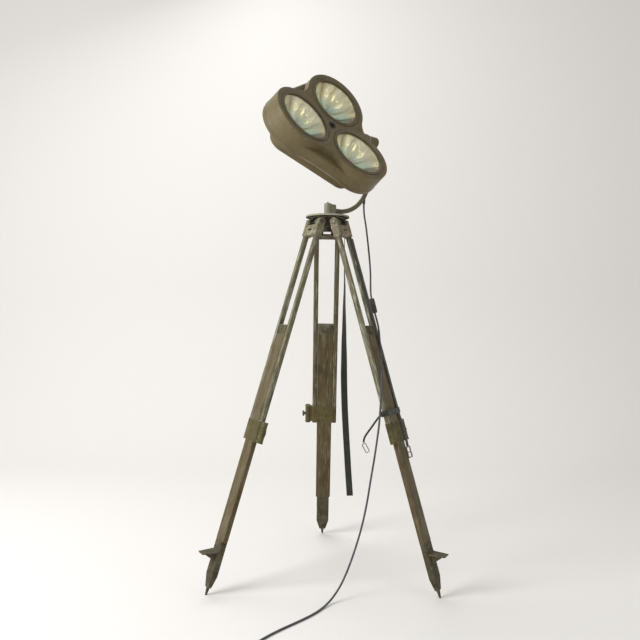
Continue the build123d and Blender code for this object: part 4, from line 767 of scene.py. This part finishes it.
def dress_mouldings():
    dress(["housing_gasket"], moulding("gasket", (0.016, 0.016, 0.015), (0.03, 0.03, 0.028), rough=0.6))
    black = moulding("black_moulding", (0.014, 0.013, 0.012), (0.035, 0.033, 0.03), rough=0.45)
    dress(["centre_socket", "tilt_friction_knob", "cord_gland"], black)
    switch = moulding("switch", (0.040, 0.038, 0.036), (0.075, 0.072, 0.068), rough=0.45)
    dress(["switch_body", "switch_rocker"], switch)
    dress(["mains_plug"], moulding("plug", (0.030, 0.029, 0.029), (0.06, 0.058, 0.056)))
    dress(["lamp_holders"], moulding("holder", (0.70, 0.67, 0.58), (0.80, 0.78, 0.70), rough=0.3))


def dress_lamp(number, angle):
    """The top lamp's bowl has a bluer painted reflection than the others."""
    dress([f"lens_glass_{number}"], glass(f"lens_{number}", LENS_TINT))
    centre = Matrix.Translation(rot(angle, "Z") @ Vector((LAMP_CIRCLE, 0, 0)))
    # Painted reflection: the colour of the bowl's low side.
    low = BOWL_BLUE_PAINTED_REFLECTION if number == 2 else BOWL_GREY_PAINTED_REFLECTION
    dress([f"reflector_{number}"], reflector(f"bowl_{number}", head_frame() @ centre, low))


dress_tripod_head()
dress_hardware()
dress_arm_and_head()
dress_mouldings()
for number, azimuth in enumerate(LEG_AZIMUTHS, 1):
    dress_leg(number, azimuth)
for number, angle in enumerate(LAMP_ANGLES, 1):
    dress_lamp(number, angle)
dress(["bulbs"], frosted("bulb", (0.80, 0.78, 0.66)))


# Floor, backdrop and light

STAGE_HALF_WIDTH = 9
STAGE_FRONT = -6.0
BACKDROP_BEND_START = 1.6
BACKDROP_BEND_RADIUS = 1.2
BACKDROP_BEND_STEPS = 12
BACKDROP_TOP = 6.0


def stage_profile():
    """The floor from front to back, a quarter turn and the backdrop, as (y, z)."""
    profile = [(STAGE_FRONT, 0.0), (BACKDROP_BEND_START, 0.0)]
    for k in range(1, BACKDROP_BEND_STEPS + 1):
        turn = math.radians(90 / BACKDROP_BEND_STEPS * k)
        y = BACKDROP_BEND_START + BACKDROP_BEND_RADIUS * math.sin(turn)
        profile.append((y, BACKDROP_BEND_RADIUS - BACKDROP_BEND_RADIUS * math.cos(turn)))
    profile.append((BACKDROP_BEND_START + BACKDROP_BEND_RADIUS, BACKDROP_TOP))
    return profile


def make_stage():
    floor_mesh = bpy.data.meshes.new("floor")
    shape = bmesh.new()
    ends = (-STAGE_HALF_WIDTH, STAGE_HALF_WIDTH)
    rows = [[shape.verts.new((x, y, z)) for x in ends] for y, z in stage_profile()]
    for a, b in zip(rows, rows[1:]):
        shape.faces.new((a[0], a[1], b[1], b[0])).smooth = True
    shape.to_mesh(floor_mesh)
    shape.free()
    floor = bpy.data.objects.new("floor", floor_mesh)
    bpy.context.scene.collection.objects.link(floor)
    look = Look("floor")
    look.set(Base_Color=(0.82, 0.805, 0.785), Roughness=0.9, Specular_IOR_Level=0.2)
    floor_mesh.materials.append(look.mat)


def make_world():
    world = bpy.data.worlds.new("world")
    bpy.context.scene.world = world
    world.use_nodes = True
    back = world.node_tree.nodes["Background"]
    back.inputs["Color"].default_value = (0.95, 0.94, 0.92, 1)
    back.inputs["Strength"].default_value = 0.55
    bpy.context.scene.view_settings.view_transform = "Standard"


def lamp(name, place, target, size, power):
    data = bpy.data.lights.new(name, "AREA")
    data.shape = "RECTANGLE"
    data.size, data.size_y = size
    data.energy = power
    light = bpy.data.objects.new(name, data)
    bpy.context.scene.collection.objects.link(light)
    light.location = place
    light.rotation_euler = (Vector(target) - Vector(place)).to_track_quat("-Z", "Y").to_euler()


make_stage()
make_world()
lamp("key", place=(-3.2, -1.9, 2.5), target=(0, 0, 1.1), size=(2.0, 2.0), power=125)
lamp("fill", place=(2.6, -2.8, 1.7), target=(0, 0, 0.9), size=(2.4, 2.0), power=14)
lamp("back", place=(-1.0, 1.2, 4.2), target=(0, 0, 1.2), size=(2.4, 1.6), power=45)
